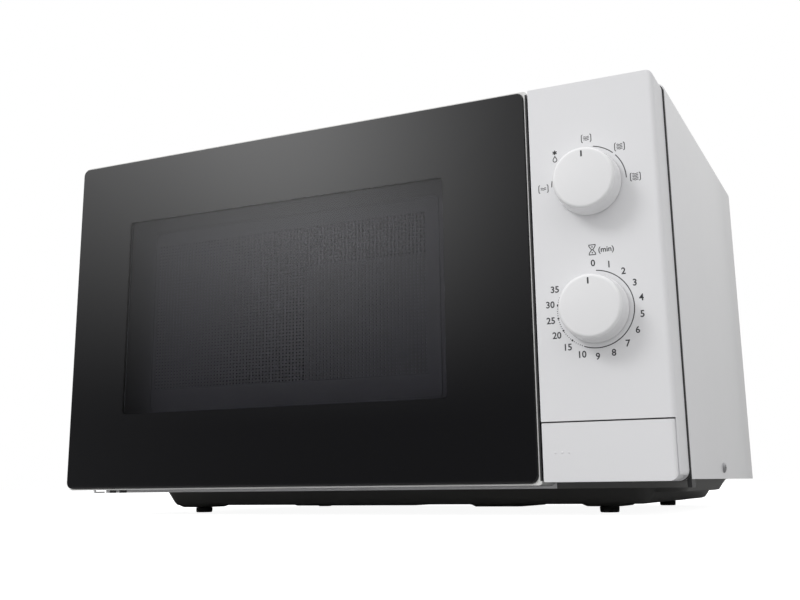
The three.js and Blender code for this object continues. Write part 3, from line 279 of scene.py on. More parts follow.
copper = finish("varnished winding", (0.50, 0.20, 0.06), 0.32, metallic=0.6, coat=0.5, bump=0.6,
                wires=(1100.0, (0.0, 0.0, 1.0), (0.12, 0.03, 0.01)))
plates = finish("stacked steel plates", (0.26, 0.27, 0.28), 0.45, metallic=0.75, bump=0.5,
                wires=(1400.0, (0.0, 1.0, 0.0), (0.09, 0.09, 0.09)), dust=0.1)
bare_aluminium = finish("bare aluminium", (0.66, 0.67, 0.68), 0.3, metallic=0.95, bump=0.05,
                        lines=(700.0, 60.0, 60.0),
                        wear=((0.5, 0.5, 0.5), 0.0004, 0.2), dust=0.08)
mica_board = finish("mica board", (0.42, 0.37, 0.28), 0.5, lines=(200.0, 900.0, 900.0), bump=0.2)
board_green = finish("printed board", (0.045, 0.17, 0.08), 0.35, grain=1700.0, bump=0.1, coat=0.3, dust=0.08)
rubber = finish("moulded rubber", (0.018, 0.018, 0.018), 0.75, grain=1300.0, bump=0.2, dust=0.15)
screw_zinc = finish("zinc-plated screw", (0.38, 0.38, 0.39), 0.3, metallic=1.0, grain=1800.0, bump=0.05)
print_grey = finish("dark grey print", (0.035, 0.035, 0.04), 0.5, grain=2000.0, bump=0.02)


# ---- Meshes: built in millimetres, kept in metres ----

def mesh_object(name, verts, faces, material):
    mesh = bpy.data.meshes.new(name)
    mesh.from_pydata([tuple(at * MM for at in v) for v in verts], [], faces)
    return shown(name, mesh, material)


def shown(name, mesh, material=None):
    if material:
        mesh.materials.clear()
        mesh.materials.append(material)
    made = bpy.data.objects.new(name, mesh)
    scene.collection.objects.link(made)
    return made


@contextlib.contextmanager
def reworked(mesh):
    work = bmesh.new()
    work.from_mesh(mesh)
    yield work
    work.to_mesh(mesh)
    work.free()


def smooth_below(made, sharp):
    """Smooth shading that stops at sharp edges."""
    made.data.polygons.foreach_set("use_smooth", [True] * len(made.data.polygons))
    made.data.set_sharp_from_angle(angle=math.radians(sharp))
    return made


def tidy_mesh(made, sharp=38.0):
    """Outward normals and smooth shading."""
    with reworked(made.data) as work:
        bmesh.ops.recalc_face_normals(work, faces=work.faces)
    return smooth_below(made, sharp)


def evaluated_mesh(made):
    bpy.context.view_layer.update()
    return bpy.data.meshes.new_from_object(made.evaluated_get(bpy.context.evaluated_depsgraph_get()))


def settle(made):
    """Turns what the modifiers make into a plain mesh."""
    shaped = evaluated_mesh(made)
    made.modifiers.clear()
    made.data = shaped
    return made


def evenly_shaded(made):
    """Keeps the large faces flat beside their soft edges."""
    made.modifiers.new("even shading", "WEIGHTED_NORMAL").keep_sharp = True
    return settle(made)


def rounded_edges(made, width, segments=2):
    """Softens the sharp edges."""
    bevel = made.modifiers.new("soft edges", "BEVEL")
    bevel.width = width * MM
    bevel.segments = segments
    bevel.limit_method = "ANGLE"
    bevel.angle_limit = math.radians(35)
    bevel.use_clamp_overlap = True
    bevel.harden_normals = False
    return evenly_shaded(smooth_below(settle(made), 50))


def joined(name, parts):
    """Several mesh objects as one; each keeps its materials."""
    target = parts[0]
    if len(parts) > 1:
        with bpy.context.temp_override(active_object=target, object=target, selected_objects=parts,
                                       selected_editable_objects=parts):
            bpy.ops.object.join()
    target.name = name
    target.data.name = name
    return target


def moved(made, place=(0, 0, 0), turn=(0, 0, 0)):
    """Moves the mesh itself, so that its object stays at the origin."""
    made.data.transform(Matrix.Translation(Vector(place) * MM) @ Euler(turn).to_matrix().to_4x4())
    return made


def shaped_by(made, other, operation="DIFFERENCE"):
    """Cuts away another closed mesh, or keeps what both share. The other is then gone."""
    change = made.modifiers.new("cut", "BOOLEAN")
    change.operation = operation
    change.solver = "EXACT"
    change.object = other
    settle(made)
    bpy.data.objects.remove(other)
    return made


def on_circle(centre, radius, turn):
    return centre[0] + radius * math.cos(turn), centre[1] + radius * math.sin(turn)


def rounded_outline(x0, x1, z0, z1, radii, steps=8):
    """Corner radii: lower left, lower right, upper right, upper left. Counter-clockwise points."""
    if not isinstance(radii, (list, tuple)):
        radii = [radii] * 4
    corners = [(x0, z0, 1, 1, 180), (x1, z0, -1, 1, 270), (x1, z1, -1, -1, 0), (x0, z1, 1, -1, 90)]
    points = []
    for (x, z, sx, sz, start), radius in zip(corners, radii):
        if radius <= 0:
            points.append((x, z))
            continue
        centre = (x + sx * radius, z + sz * radius)
        points += [on_circle(centre, radius, math.radians(start + 90 * i / steps)) for i in range(steps + 1)]
    return points


PLANE = {"x": lambda a, b, c: (c, a, b), "y": lambda a, b, c: (a, c, b), "z": lambda a, b, c: (a, b, c)}


def extruded(name, outline, axis, start, end, material):
    """A closed prism. The outline is drawn in the other two axes, in order."""
    to3 = PLANE[axis]
    n = len(outline)
    verts = [to3(a, b, start) for a, b in outline] + [to3(a, b, end) for a, b in outline]
    faces = [tuple(range(n - 1, -1, -1)), tuple(range(n, 2 * n))]
    faces += [(i, (i + 1) % n, n + (i + 1) % n, n + i) for i in range(n)]
    return tidy_mesh(mesh_object(name, verts, faces, material))


def block(name, x0, x1, y0, y1, z0, z1, material):
    return extruded(name, [(x0, y0), (x1, y0), (x1, y1), (x0, y1)], "z", z0, z1, material)


def framed(name, outer, inner, axis, start, end, material):
    """A flat ring between two outlines with as many points each."""
    to3 = PLANE[axis]
    n = len(outer)
    verts = [to3(a, b, at) for at in (start, end) for line in (outer, inner) for a, b in line]
    faces = []
    for i in range(n):
        j = (i + 1) % n
        faces += [(i, j, n + j, n + i), (2 * n + i, 3 * n + i, 3 * n + j, 2 * n + j),
                  (i, 2 * n + i, 2 * n + j, j), (n + i, n + j, 3 * n + j, 3 * n + i)]
    return tidy_mesh(mesh_object(name, verts, faces, material))


def turned(name, profile, axis, centre, material, segments=64, sharp=38.0):
    """Points of [radius, along] turned about an axis through a centre on the other two axes."""
    verts, rings = [], []
    to3 = PLANE[axis]
    closed = profile[0] == profile[-1]
    for radius, along in profile[:-1] if closed else profile:
        count = segments if radius else 1
        rings.append([len(verts) + i for i in range(count)])
        verts += [to3(*on_circle(centre, radius, 2 * math.pi * i / segments), along) for i in range(count)]
    faces = []
    for a, b in zip(rings, rings[1:] + rings[:1] if closed else rings[1:]):
        for i in range(segments):
            j = (i + 1) % segments
            if len(a) > 1 and len(b) > 1:
                faces.append((a[i], b[i], b[j], a[j]))
            elif len(b) > 1:
                faces.append((a[0], b[i], b[j]))
            elif len(a) > 1:
                faces.append((a[i], b[0], a[j]))
    return tidy_mesh(mesh_object(name, verts, faces, material), sharp)


def arc_points(centre, radius, start, end, steps):
    """Points on an arc, in degrees clockwise from the top."""
    turns = [math.radians(start + (end - start) * i / steps) for i in range(steps + 1)]
    return [(centre[0] + radius * math.sin(turn), centre[1] + radius * math.cos(turn)) for turn in turns]


def stroke(name, points, width, y0, y1, material, closed=False):
    """A printed line of an even width along points in X and Z."""
    count = len(points)
    left, right = [], []
    for i, here in enumerate(points):
        before = points[i - 1] if i or closed else None
        after = points[(i + 1) % count] if i < count - 1 or closed else None
        ways = []
        if before:
            ways.append(Vector((here[0] - before[0], here[1] - before[1])).normalized())
        if after:
            ways.append(Vector((after[0] - here[0], after[1] - here[1])).normalized())
        along = sum(ways, Vector((0, 0))).normalized()
        side = Vector((-along.y, along.x))
        stretch = width / 2 / max(0.5, side.dot(Vector((-ways[0].y, ways[0].x))))
        left.append((here[0] + side.x * stretch, here[1] + side.y * stretch))
        right.append((here[0] - side.x * stretch, here[1] - side.y * stretch))
    if closed:
        return framed(name, left, right, "y", y0, y1, material)
    return extruded(name, left + right[::-1], "y", y0, y1, material)


def lettered(name, text, x, z, size, y0, depth, material):
    """Flat characters on a face that looks along -Y."""
    curve = bpy.data.curves.new(name, "FONT")
    curve.body = text
    curve.size = size * MM
    curve.extrude = depth * MM / 2
    curve.offset = size * MM * 0.018
    curve.align_x = "CENTER"
    curve.align_y = "CENTER"
    curve.resolution_u = 3
    made = bpy.data.objects.new(name, curve)
    scene.collection.objects.link(made)
    flat = shown(name, evaluated_mesh(made), material)
    bpy.data.objects.remove(made)
    moved(flat, (x, y0 - depth / 2, z), (math.pi / 2, 0, 0))
    with reworked(flat.data) as work:
        bmesh.ops.remove_doubles(work, verts=work.verts, dist=1e-7)
    return flat


def welded_copy(node_name, name, material):
    """A CAD node's shape as one mesh, with its flat faces whole."""
    mesh = frame["nodes"][node_name].data.copy()
    with reworked(mesh) as work:
        bmesh.ops.remove_doubles(work, verts=work.verts, dist=3e-6)
        bmesh.ops.dissolve_degenerate(work, dist=1e-6, edges=work.edges)
        bmesh.ops.dissolve_limit(work, angle_limit=math.radians(0.6), verts=work.verts, edges=work.edges)
    return tidy_mesh(shown(name, mesh, material))


body_of_node = {n: body for body, members in frame["record"]["behaviour"]["bodies"].items() for n in members}


def stands_for(made, node_name):
    """The piece rides with a CAD node's body, and is shown in its place."""
    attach(made, body_of_node[node_name])
    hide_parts(node_name)
    return made


def added(made, body):
    """A piece the CAD hasn't got."""
    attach(made, body)
    return made


# ---- Repeats: Geometry Nodes trees whose result becomes a plain mesh ----

INTEGER, ROTATION, FINISH = "NodeSocketInt", "NodeSocketRotation", "NodeSocketMaterial"
GEOMETRY, OBJECT = "NodeSocketGeometry", "NodeSocketObject"


def geometry_tree(name, inputs):
    placed = [(VECTOR, "Place", (0, 0, 0)), (ROTATION, "Turn", (0, 0, 0)), (FINISH, "Finish", None)]
    return node_group("GeometryNodeTree", name, [(GEOMETRY, "Geometry", None)] + inputs + placed,
                      [(GEOMETRY, "Geometry")])


def end_tree(tree, given, out, instances, weld=False):
    """Realizes the copies, puts them in place and sets their finish."""
    last = node(tree, "GeometryNodeRealizeInstances", i0=instances).outputs[0]
    if weld:
        last = node(tree, "GeometryNodeMergeByDistance", i0=last, Distance=2e-6).outputs[0]
    placed = node(tree, "GeometryNodeTransform", Geometry=last, Translation=given["Place"],
                  Rotation=given["Turn"])
    dressed = node(tree, "GeometryNodeSetMaterial", Geometry=placed.outputs[0], Material=given["Finish"])
    return give(tree, out, Geometry=dressed.outputs[0])


def grid_tree():
    """Copies of a part in rows and columns."""
    tree, given, out = geometry_tree("rows and columns", [
        (INTEGER, "Columns", 4), (INTEGER, "Rows", 4), (FLOAT, "Column Step", 0.01), (FLOAT, "Row Step", 0.01)])
    wide, tall = (maths(tree, "MULTIPLY", maths(tree, "SUBTRACT", given[count], 1.0), given[step])
                  for count, step in (("Columns", "Column Step"), ("Rows", "Row Step")))
    grid = node(tree, "GeometryNodeMeshGrid", Size_X=wide, Size_Y=tall, Vertices_X=given["Columns"],
                Vertices_Y=given["Rows"])
    copies = node(tree, "GeometryNodeInstanceOnPoints", Points=grid.outputs["Mesh"], Instance=given["Geometry"])
    return end_tree(tree, given, out, copies.outputs[0], weld=True)


def points_tree():
    """Copies of a part at given points, each with its own turn."""
    tree, given, out = geometry_tree("at points", [(OBJECT, "Part", None)])
    part = node(tree, "GeometryNodeObjectInfo", Object=given["Part"])
    turn = node(tree, "GeometryNodeInputNamedAttribute", {"data_type": "FLOAT_VECTOR"}, Name="turn")
    copies = node(tree, "GeometryNodeInstanceOnPoints", Points=given["Geometry"],
                  Instance=part.outputs["Geometry"], Rotation=turn.outputs["Attribute"])
    return end_tree(tree, given, out, copies.outputs[0])


rows_and_columns = grid_tree()
at_points = points_tree()


def repeated(made, tree, sharp=38.0, **values):
    """Runs a tree on an object with its named inputs, and keeps the result as a plain mesh."""
    repeat = made.modifiers.new("repeat", "NODES")
    repeat.node_group = tree
    for socket in tree.interface.items_tree:
        key = socket.name.replace(" ", "_")
        if socket.in_out == "INPUT" and key in values:
            repeat[socket.identifier] = values[key]
    return tidy_mesh(settle(made), sharp)


# How a part that points up is turned to point along an axis
FACING = {"+y": (-math.pi / 2, 0, 0), "+x": (0, math.pi / 2, 0), "-x": (0, -math.pi / 2, 0)}


def cross_screw(radius):
    """A pan-head screw with a cross recess, its seat at the origin and its head along +Z."""
    rise = radius * 0.55
    profile = [(0, rise), (radius * 0.5, rise * 0.93), (radius * 0.82, rise * 0.66), (radius, rise * 0.25),
               (radius * 0.98, 0), (0, 0)]
    head = turned("screw head", profile, "z", (0, 0), screw_zinc, 28)
    for long, wide in ((1.15, 0.24), (0.24, 1.15)):
        wing = block("recess", -radius * long / 2, radius * long / 2, -radius * wide / 2, radius * wide / 2,
                     rise * 0.35, rise * 2, screw_zinc)
        shaped_by(head, wing)
    return head


small_screw = cross_screw(3.6)
small_screw.hide_render = True


def screws(name, places):
    """places holds (x, y, z, facing)."""
    mesh = bpy.data.meshes.new(name)
    mesh.from_pydata([Vector(place[:3]) * MM for place in places], [], [])
    turns = mesh.attributes.new("turn", "FLOAT_VECTOR", "POINT")
    turns.data.foreach_set("vector", [angle for place in places for angle in FACING[place[3]]])
    spots = shown(name, mesh)
    return added(repeated(spots, at_points, Part=small_screw, Finish=screw_zinc), "chassis")


# ---- Cabinet ----

def cabinet_wrap():
    """The folded steel wrap: top and both sides in one sheet, with turned edges at front and rear."""
    x0, x1, y0, y1, z0, z1 = edges_of("outer_cabinet")
    sheet, corner = 1.0, 5.0      # thickness, and radius of the upper corners

    def section(inset):
        centre = (x0 + corner, z1 - corner)
        half = [(x0 + inset, z0)]
        half += [on_circle(centre, corner - inset, math.radians(180 - 9 * i)) for i in range(11)]
        return half + [(x1 + x0 - x, z) for x, z in half[::-1]]

    stations = [(0.0, 0.45), (0.12, 0.2), (0.35, 0.05), (0.7, 0.0)]     # depth, how far the edge is turned in
    stations += [(y1 - y0 - y, inset) for y, inset in stations[::-1]]
    verts, faces, loops = [], [], []
    for y, inset in stations + [(stations[0][0], sheet), (stations[-1][0], sheet)]:
        ring = section(inset)
        loops.append(range(len(verts), len(verts) + len(ring)))
        verts += [(x, y0 + y, z) for x, z in ring]
    n = len(loops[0])
    around = loops[:-2] + loops[:-3:-1]
    for a, b in zip(around, around[1:] + around[:1]):
        faces += [(a[i], a[i + 1], b[i + 1], b[i]) for i in range(n - 1)]
    faces.append(tuple(loop[0] for loop in around))
    faces.append(tuple(loop[n - 1] for loop in around)[::-1])
    return stands_for(tidy_mesh(mesh_object("cabinet_wrap", verts, faces, white_coat)), "outer_cabinet")


cabinet_wrap()

cab = edges_of("outer_cabinet")
back = edges_of("rear_panel")
pan = edges_of("base_pan")
side_screw_y = cab[2] + (cab[3] - cab[2]) * 0.438
side_screw_z = cab[4] + 7.6
screws("side_screws", [(cab[1], side_screw_y, side_screw_z, "+x"), (cab[0], side_screw_y, side_screw_z, "-x")])
rear_levels = back[5] - 7, middle_of(*back[4:]), back[4] + 12
rear_spots = [(x, back[3], z, "+y") for z in rear_levels for x in (back[0] + 7, back[1] - 7)]
rear_spots += [(middle_of(*back[:2]), back[3], z, "+y") for z in rear_levels[::2]]
screws("rear_screws", rear_spots)
rim_z = cab[4] + 0.2      # the sheet's rim is tucked up inside the cabinet's lower edge


# ---- Control panel, push plate and dials ----

bezel = edges_of("control_panel")
plate = edges_of("door_release_button")
power = edges_of("power_knob")
timer = edges_of("timer_knob")
dial_x, power_z, timer_z = middle_of(*power[:2]), middle_of(*power[4:]), middle_of(*timer[4:])
face_y = bezel[2]
bezel_right = bezel[1] - 1.2     # the bezel stands a little inside the cabinet's side
plate_right = bezel_right - 1
SPLIT = 0.9                      # the gap between the bezel and the push plate


def bezel_block(inset):
    x0, x1 = bezel[0] + inset, bezel_right - inset
    z0, z1 = bezel[4] + inset, bezel[5] - inset
    low_corner, high_corner, edge = 6.5 - inset, 4.6 - inset, 3.4 - inset
    rear = bezel[3] + (10 if inset else 0)
    face = rounded_outline(x0, x1, z0, z1, [1, low_corner, high_corner, 1], 10)
    plan = rounded_outline(x0, x1, bezel[2] + inset, rear, [0.6, edge, 0, 0], 12)
    along = extruded("bezel", face, "y", bezel[2] + inset, rear, white_moulding)
    return shaped_by(along, extruded("plan", plan, "z", z0 - 1, z1 + 1, white_moulding), "INTERSECT")


def control_bezel():
    shell = shaped_by(bezel_block(0), bezel_block(2.3))
    room = block("room", bezel[0] - 5, plate_right + 0.1, face_y - 5, plate[3] + 6,
                 bezel[4] - 5, plate[5] + SPLIT, white_moulding)
    shaped_by(shell, room)
    for z in (power_z, timer_z):
        bore = turned("bore", [(0, face_y - 5), (5, face_y - 5), (5, face_y + 9),
                               (0, face_y + 9)], "y", (dial_x, z), white_moulding, 40)
        shaped_by(shell, bore)
    shelf = block("shelf", bezel[0] + 1, bezel[1] - 2, face_y + 1.8, bezel[3] - 8,
                  plate[5] + SPLIT, plate[5] + 3.1, white_moulding)
    parts = [rounded_edges(shell, 0.45, 3), rounded_edges(shelf, 0.3)]
    for x in (bezel[0] + 7, bezel[1] - 9):
        for z in (plate[5] + 22, bezel[5] - 11):
            parts.append(turned("boss", [(0, face_y + 1.8), (3.5, face_y + 1.8),
                                         (3.5, bezel[3]), (1.2, bezel[3]), (1.2, bezel[3] - 8),
                                         (0, bezel[3] - 8)], "y", (x, z), white_moulding, 24))
    return stands_for(joined("control_bezel", parts), "control_panel")


def push_plate():
    outline = rounded_outline(plate[0], plate_right, plate[4], plate[5], [1, 5.5, 0.4, 0.8])
    front = face_y
    shell = extruded("push_plate", outline, "y", front, front + 18, white_moulding)
    plan = rounded_outline(plate[0], plate_right, front, front + 18, [0.4, 2.6, 0, 0], 12)
    shaped_by(shell, extruded("plan", plan, "z", plate[4] - 1, plate[5] + 1, white_moulding), "INTERSECT")
    hollow = block("hollow", plate[0] + 2.2, plate_right - 2.2, front + 2.4, front + 30,
                   plate[4] + 2.2, plate[5] - 2.2, white_moulding)
    parts = [rounded_edges(shaped_by(shell, hollow), 0.55, 3)]
    parts.append(rounded_edges(block("post", plate[0] + 3.3, plate[0] + 11.3, front + 2, plate[3],
                                     plate[4] + 14.4, plate[4] + 21.4, white_moulding), 0.3))
    dot_z = middle_of(*plate[4:]) - 0.2
    for step in (8.0, 12.3, 16.4):
        dome = [(0, front - 0.35), (0.35, front - 0.3), (0.65, front - 0.12),
                (0.75, front + 0.3), (0, front + 0.3)]
        parts.append(turned("dot", dome, "y", (plate[0] + step, dot_z), white_moulding, 20))
    return stands_for(joined("push_plate", parts), "door_release_button")


def dial_knob(name, node_name, centre_z):
    box = edges_of(node_name)
    face, base = box[2], box[3]
    wide = (box[1] - box[0]) / 2
    narrow, soft = wide - 1.4, 2.2      # radius of the face, and of its edge
    profile = [(0, face), (narrow - soft, face)]
    profile += [on_circle((narrow - soft, face + soft), soft, math.radians(90 * i / 7 - 90))
                for i in range(1, 8)]
    profile += [(wide - 0.85, base - 4), (wide - 0.25, base - 1.2), (wide, base - 0.5),
                (wide - 0.15, base), (wide - 2, base), (narrow - 2, face + 2),
                (6, face + 2), (6, base - 1), (3.3, base - 1), (3.3, face + 4),
                (0, face + 4)]
    body = turned("knob", profile, "y", (dial_x, centre_z), dial_moulding, 96, 50)
    rib = block("rib", dial_x + 5.6, dial_x + narrow - 1.4, face + 1.5, base - 2,
                centre_z - 0.6, centre_z + 0.6, dial_moulding)
    ribs = [rib]
    centre = Vector((dial_x, 0, centre_z)) * MM
    for turn in (120, 240):
        other = shown("rib", rib.data.copy())
        other.data.transform(Matrix.Translation(centre) @ Matrix.Rotation(math.radians(turn), 4, "Y")
                             @ Matrix.Translation(-centre))
        ribs.append(other)
    made = joined(name, [body] + ribs)
    stands_for(made, node_name)
    mark = rounded_outline(dial_x - 0.5, dial_x + 0.5, centre_z + narrow - 6.4,
                           centre_z + narrow - 2.4, 0.45, 5)
    pointer = extruded(name + "_pointer", mark, "y", face - 0.05, face + 0.4, print_grey)
    added(pointer, body_of_node[node_name])
    return made


def seam_strip():
    """Painted shade: black strips fill the joint between the bezel and the cabinet, where the gap only lies in
    shadow.
    """
    sheet = edges_of("front_plate")
    x0, x1, z0, z1 = bezel[0] + 1, cab[1] - 0.35, bezel[4] + 0.8, bezel[5] - 0.5
    outer = rounded_outline(x0, x1, z0, z1, [0.5, 4, 4, 0.5])
    hole = rounded_outline(x0 + 5, x1 - 7, z0 + 6, z1 - 6, [0.5, 2, 2, 0.5])
    # painted shade: the band, the side and the heel are black where the joint falls in shadow
    band = framed("band", outer, hole, "y", bezel[3] + 0.03, sheet[2] - 0.03, black_moulding)
    side = block("side", sheet[1] + 0.05, x1, sheet[2] - 0.03, cab[2] - 0.03, z0, z1 - 3,
                 black_moulding)
    heel = block("heel", sheet[1] + 0.05, x1, sheet[2] - 0.03, pan[2] + 0.5, sheet[4] - 0.1,
                 cab[4] - 0.05, black_moulding)
    added(joined("seam_strip", [band, side, heel]), "chassis")
    kick = block("kick_strip", plate[0] - 0.5, sheet[1], sheet[2] - 0.75, sheet[2] - 0.05,
                 sheet[4] - 0.1, bezel[4] - 0.05, dark_coat)
    added(rounded_edges(kick, 0.2), "chassis")


control_bezel()
seam_strip()
push_plate()
dial_knob("power_dial", "power_knob", power_z)
dial_knob("timer_dial", "timer_knob", timer_z)

ink = (face_y - 0.05, face_y + 0.02)     # front and rear of the print
SCALE = 23.7                             # radius of the lines round the dials


def line_mark(points, width, closed=False):
    return stroke("line", points, width, *ink, print_grey, closed)


def arc_mark(centre_z, start, end):
    steps = max(3, int(abs(end - start) / 3))
    return line_mark(arc_points((dial_x, centre_z), SCALE, start, end, steps), 0.58)


def dot_mark(x, z, radius):
    outline = [on_circle((x, z), radius, math.radians(30 * i)) for i in range(12)]
    return extruded("dot", outline, "y", *ink, print_grey)


def text_mark(text, x, z, size):
    return lettered("text", text, x, z, size, ink[1], 0.07, print_grey)


def around(centre_z, radius, turn):
    return arc_points((dial_x, centre_z), radius, turn, turn, 1)[0]


def power_icon(rows, turn):
    """Wavy lines between hooked brackets; more lines for more power."""
    x, z = around(power_z, 29.2, turn)
    parts, reach, tall, pitch = [], 3.05, 2.65, 0.98
    for row in range(rows):
        level = z + (row - (rows - 1) / 2) * pitch
        points = [(x + (k - 6) * 0.3, level + 0.22 * math.sin(2 * math.pi * k / 8)) for k in range(13)]
        parts.append(line_mark(points, 0.4))
    for side in (-1, 1):
        edge = x + side * reach
        points = [(edge - side * 0.75, z + tall), (edge - side * 0.1, z + tall * 0.8),
                  (edge, z + tall * 0.5), (edge, z - tall * 0.5), (edge - side * 0.1, z - tall * 0.8),
                  (edge - side * 0.75, z - tall)]
        parts.append(line_mark(points, 0.5))
    return parts


def defrost_icon(turn):
    x, z = around(power_z, 29.4, turn)
    parts = []
    for way in (30, 90, 150):
        arm = [on_circle((x, z + 2.0), reach, math.radians(way)) for reach in (-1.5, 1.5)]
        parts.append(line_mark(arm, 0.7))
    right = [(1.1, 2.2), (1.3, 3.0), (0.8, 3.9)]
    drop = [(x, z - 0.4)] + [(x + wide, z - low) for wide, low in right]
    drop += [(x, z - 4.2)] + [(x - wide, z - low) for wide, low in right[::-1]]
    parts.append(line_mark(drop, 0.5, closed=True))
    return parts


def timer_marks():
    parts = [arc_mark(timer_z, 4, 200)]
    parts += [dot_mark(*around(timer_z, SCALE, 203 + 3.4 * i), 0.3) for i in range(27)]
    parts += [dot_mark(*around(timer_z, SCALE, turn), 0.62) for turn in (220, 240, 260, 280)]
    labels = [(i, 20 * i) for i in range(11)] + [(15 + 5 * i, 220 + 20 * i) for i in range(5)]
    for minutes, turn in labels:
        x, z = around(timer_z, 28.6, turn)
        parts.append(text_mark(str(minutes), x, z - 0.4, 5.7))
    top = timer_z + 36.7
    for side in (-1, 1):
        right = [(2.0, 3.1), (1.9, 2.1), (0.35, 0)]
        glass_half = [(dial_x - right[0][0], top + side * right[0][1])]
        glass_half += [(dial_x + wide, top + side * up) for wide, up in right]
        glass_half += [(dial_x - wide, top + side * up) for wide, up in right[:0:-1]]
        parts.append(line_mark(glass_half, 0.5, closed=True))
        parts.append(dot_mark(dial_x, top + side * 1.8, 0.45))
    return parts + [text_mark("(min)", dial_x + 8.6, top - 0.5, 4.7)]


def power_marks():
    parts = [arc_mark(power_z, start, end) for start, end in ((9.7, 43.3), (48.4, 89.3), (-89, -79))]
    for rows, turn in ((2, -90), (3, 0), (4, 45), (5, 90)):
        parts += power_icon(rows, turn)
    return parts + defrost_icon(-45)


added(joined("dial_print", timer_marks() + power_marks()), "chassis")


# ---- Door ----

glass = edges_of("door_glass")
door = edges_of("door_frame")
inner = edges_of("door_panel")


def on_glass(x0, x1, z0, z1, corner):
    """A rounded rectangle measured from the glass's lower left corner."""
    return rounded_outline(glass[0] + x0, glass[0] + x1, glass[4] + z0, glass[4] + z1, corner)


def glass_pane():
    """One sheet of glass with ground edges: black print all round, clear tinted glass at the window."""
    front, rear = glass[2], glass[3]
    window = on_glass(49.7, 311.0, 53.5, 200.0, 3)
    edge = [(0.5, front), (0.22, front + 0.08), (0.07, front + 0.25), (0, front + 0.5), (0, rear - 0.3),
            (0.3, rear)]
    wide, tall = glass[1] - glass[0], glass[5] - glass[4]
    loops = [(on_glass(inset, wide - inset, inset, tall - inset, 5 - inset), y) for inset, y in edge]
    loops = [(window, front), *loops, (window, rear)]
    n = len(window)
    verts = [(x, y, z) for line, y in loops for x, z in line]
    faces = [tuple(range(n)), tuple(range(7 * n, 8 * n))]
    for k in range(len(loops) - 1):
        faces += [(k * n + i, k * n + (i + 1) % n, (k + 1) * n + (i + 1) % n, (k + 1) * n + i)
                  for i in range(n)]
    pane = mesh_object("door_glass_pane", verts, faces, black_print)
    pane.data.materials.append(tinted_glass)
    for face in pane.data.polygons[:2]:
        face.material_index = 1
    return stands_for(evenly_shaded(tidy_mesh(pane)), "door_glass")


def perforated_panel():
    """Pressed steel panel: a rim, an embossed step round the window and rows of small holes."""
    shell = welded_copy("door_panel", "door_panel_sheet", door_steel)
    gap, radius = 2.8, 0.66           # from hole to hole along a row, and a hole's radius
    row_gap = gap * 0.866
    x0, x1, z0, z1 = glass[0] + 62.7, glass[0] + 290.5, glass[4] + 71.7, glass[4] + 184.2
    columns, rows = int((x1 - x0) / gap), int((z1 - z0) / row_gap)
    x, z, wide, tall = middle_of(x0, x1), middle_of(z0, z1), columns * gap / 2, rows * row_gap / 2
    front = inner[2]
    shaped_by(shell, block("hole", x - wide, x + wide, front - 4, front + 3, z - tall, z + tall, door_steel))
    rounded_edges(shell, 0.3)
    eighths = [on_circle((0, 0), 1, math.radians(45 * i)) for i in range(8)]
    rim = [(gap / 2 * a / max(abs(a), abs(b)), row_gap / 2 * b / max(abs(a), abs(b))) for a, b in eighths]
    hole = [(radius * a, radius * b) for a, b in eighths]
    verts = [(a, b, level) for level in (0.0, 0.5) for ring in (rim, hole) for a, b in ring]
    faces = []
    for i in range(8):
        j = (i + 1) % 8
        faces += [(i, j, 8 + j, 8 + i), (16 + i, 24 + i, 24 + j, 16 + j), (8 + i, 8 + j, 24 + j, 24 + i)]
    cell = mesh_object("door_panel_holes", verts, faces, door_steel)
    holes = repeated(cell, rows_and_columns, Columns=columns, Rows=rows, Column_Step=gap * MM,
                     Row_Step=row_gap * MM, Place=(x * MM, (front + 0.75) * MM, z * MM),
                     Turn=(math.pi / 2, 0, 0), Finish=door_steel)
    bead = framed("bead", on_glass(58.7, 300.2, 54.7, 195.3, 5), on_glass(60.7, 298.2, 56.7, 193.3, 4), "y",
                  front - 0.7, front + 0.2, door_steel)
    return stands_for(joined("door_panel_sheet", [shell, rounded_edges(bead, 0.4), holes]), "door_panel")


def door_trims():
    """Black strips painted as shade in the gaps at the free edge and under the door, and the buffers under its
    lower lip.
    """
    # painted shade: black strips where the gaps beside and under the door lie in shadow
    edge = block("edge", door[1] - 1.05, door[1] + 0.06, door[2] - 0.06, door[2] + 4,
                 door[4] + 2.5, door[5] - 2.5, black_moulding)
    under = block("under", door[0] + 20, door[1] - 2, door[3] - 1.2, door[3] + 0.4,
                  door[4] - 0.25, door[4] + 0.6, black_moulding)
    added(joined("door_edge_strips", [edge, under]), "door")
    sheet = edges_of("front_plate")
    buffers = [rounded_edges(block("buffer", door[0] + x, door[0] + (x + wide), sheet[2] - 0.8,
                                   sheet[2] - 0.03, sheet[4] - 0.1, sheet[4] + 2.0, black_moulding),
                             0.15) for x, wide in ((17.6, 5.6), (27.0, 6.4))]
    added(joined("lower_buffers", buffers), "chassis")
    hinge = edges_of("lower_hinge")
    foot = block("hinge_foot", hinge[0] + 0.6, hinge[1] - 0.6, hinge[2] + 5, sheet[2] - 0.9,
                 door[4] + 0.3, hinge[4] + 0.1, zinc)
    added(rounded_edges(foot, 0.2), "chassis")


glass_pane()
perforated_panel()
door_trims()


# ---- Base and feet ----

def rubber_foot(node_name):
    box = edges_of(node_name)
    centre = middle_of(*box[:2]), middle_of(*box[2:4])
    r, low, seat, top = 6.5, box[4], box[4] + 3.8, box[5]
    profile = [(0, low + 0.4), (3.2, low + 0.4), (3.6, low), (r - 1.1, low)]
    profile += [on_circle((r - 1.1, low + 0.9), 0.9, math.radians(30 * i - 90)) for i in range(1, 4)]
    profile += [(r, seat - 0.4), (r - 0.4, seat), (2.7, seat), (2.7, top - 3.5),
                (4.2, top - 3.5), (2.6, top - 0.3), (2.2, top), (0, top)]
    return stands_for(turned(node_name + "_rubber", profile, "z", centre, rubber, 40), node_name)


FEET = ("foot_front_left", "foot_front_right", "foot_rear_left", "foot_rear_right")
for foot_name in FEET:
    rubber_foot(foot_name)


# ---- Base sheet, turntable and lamp ----

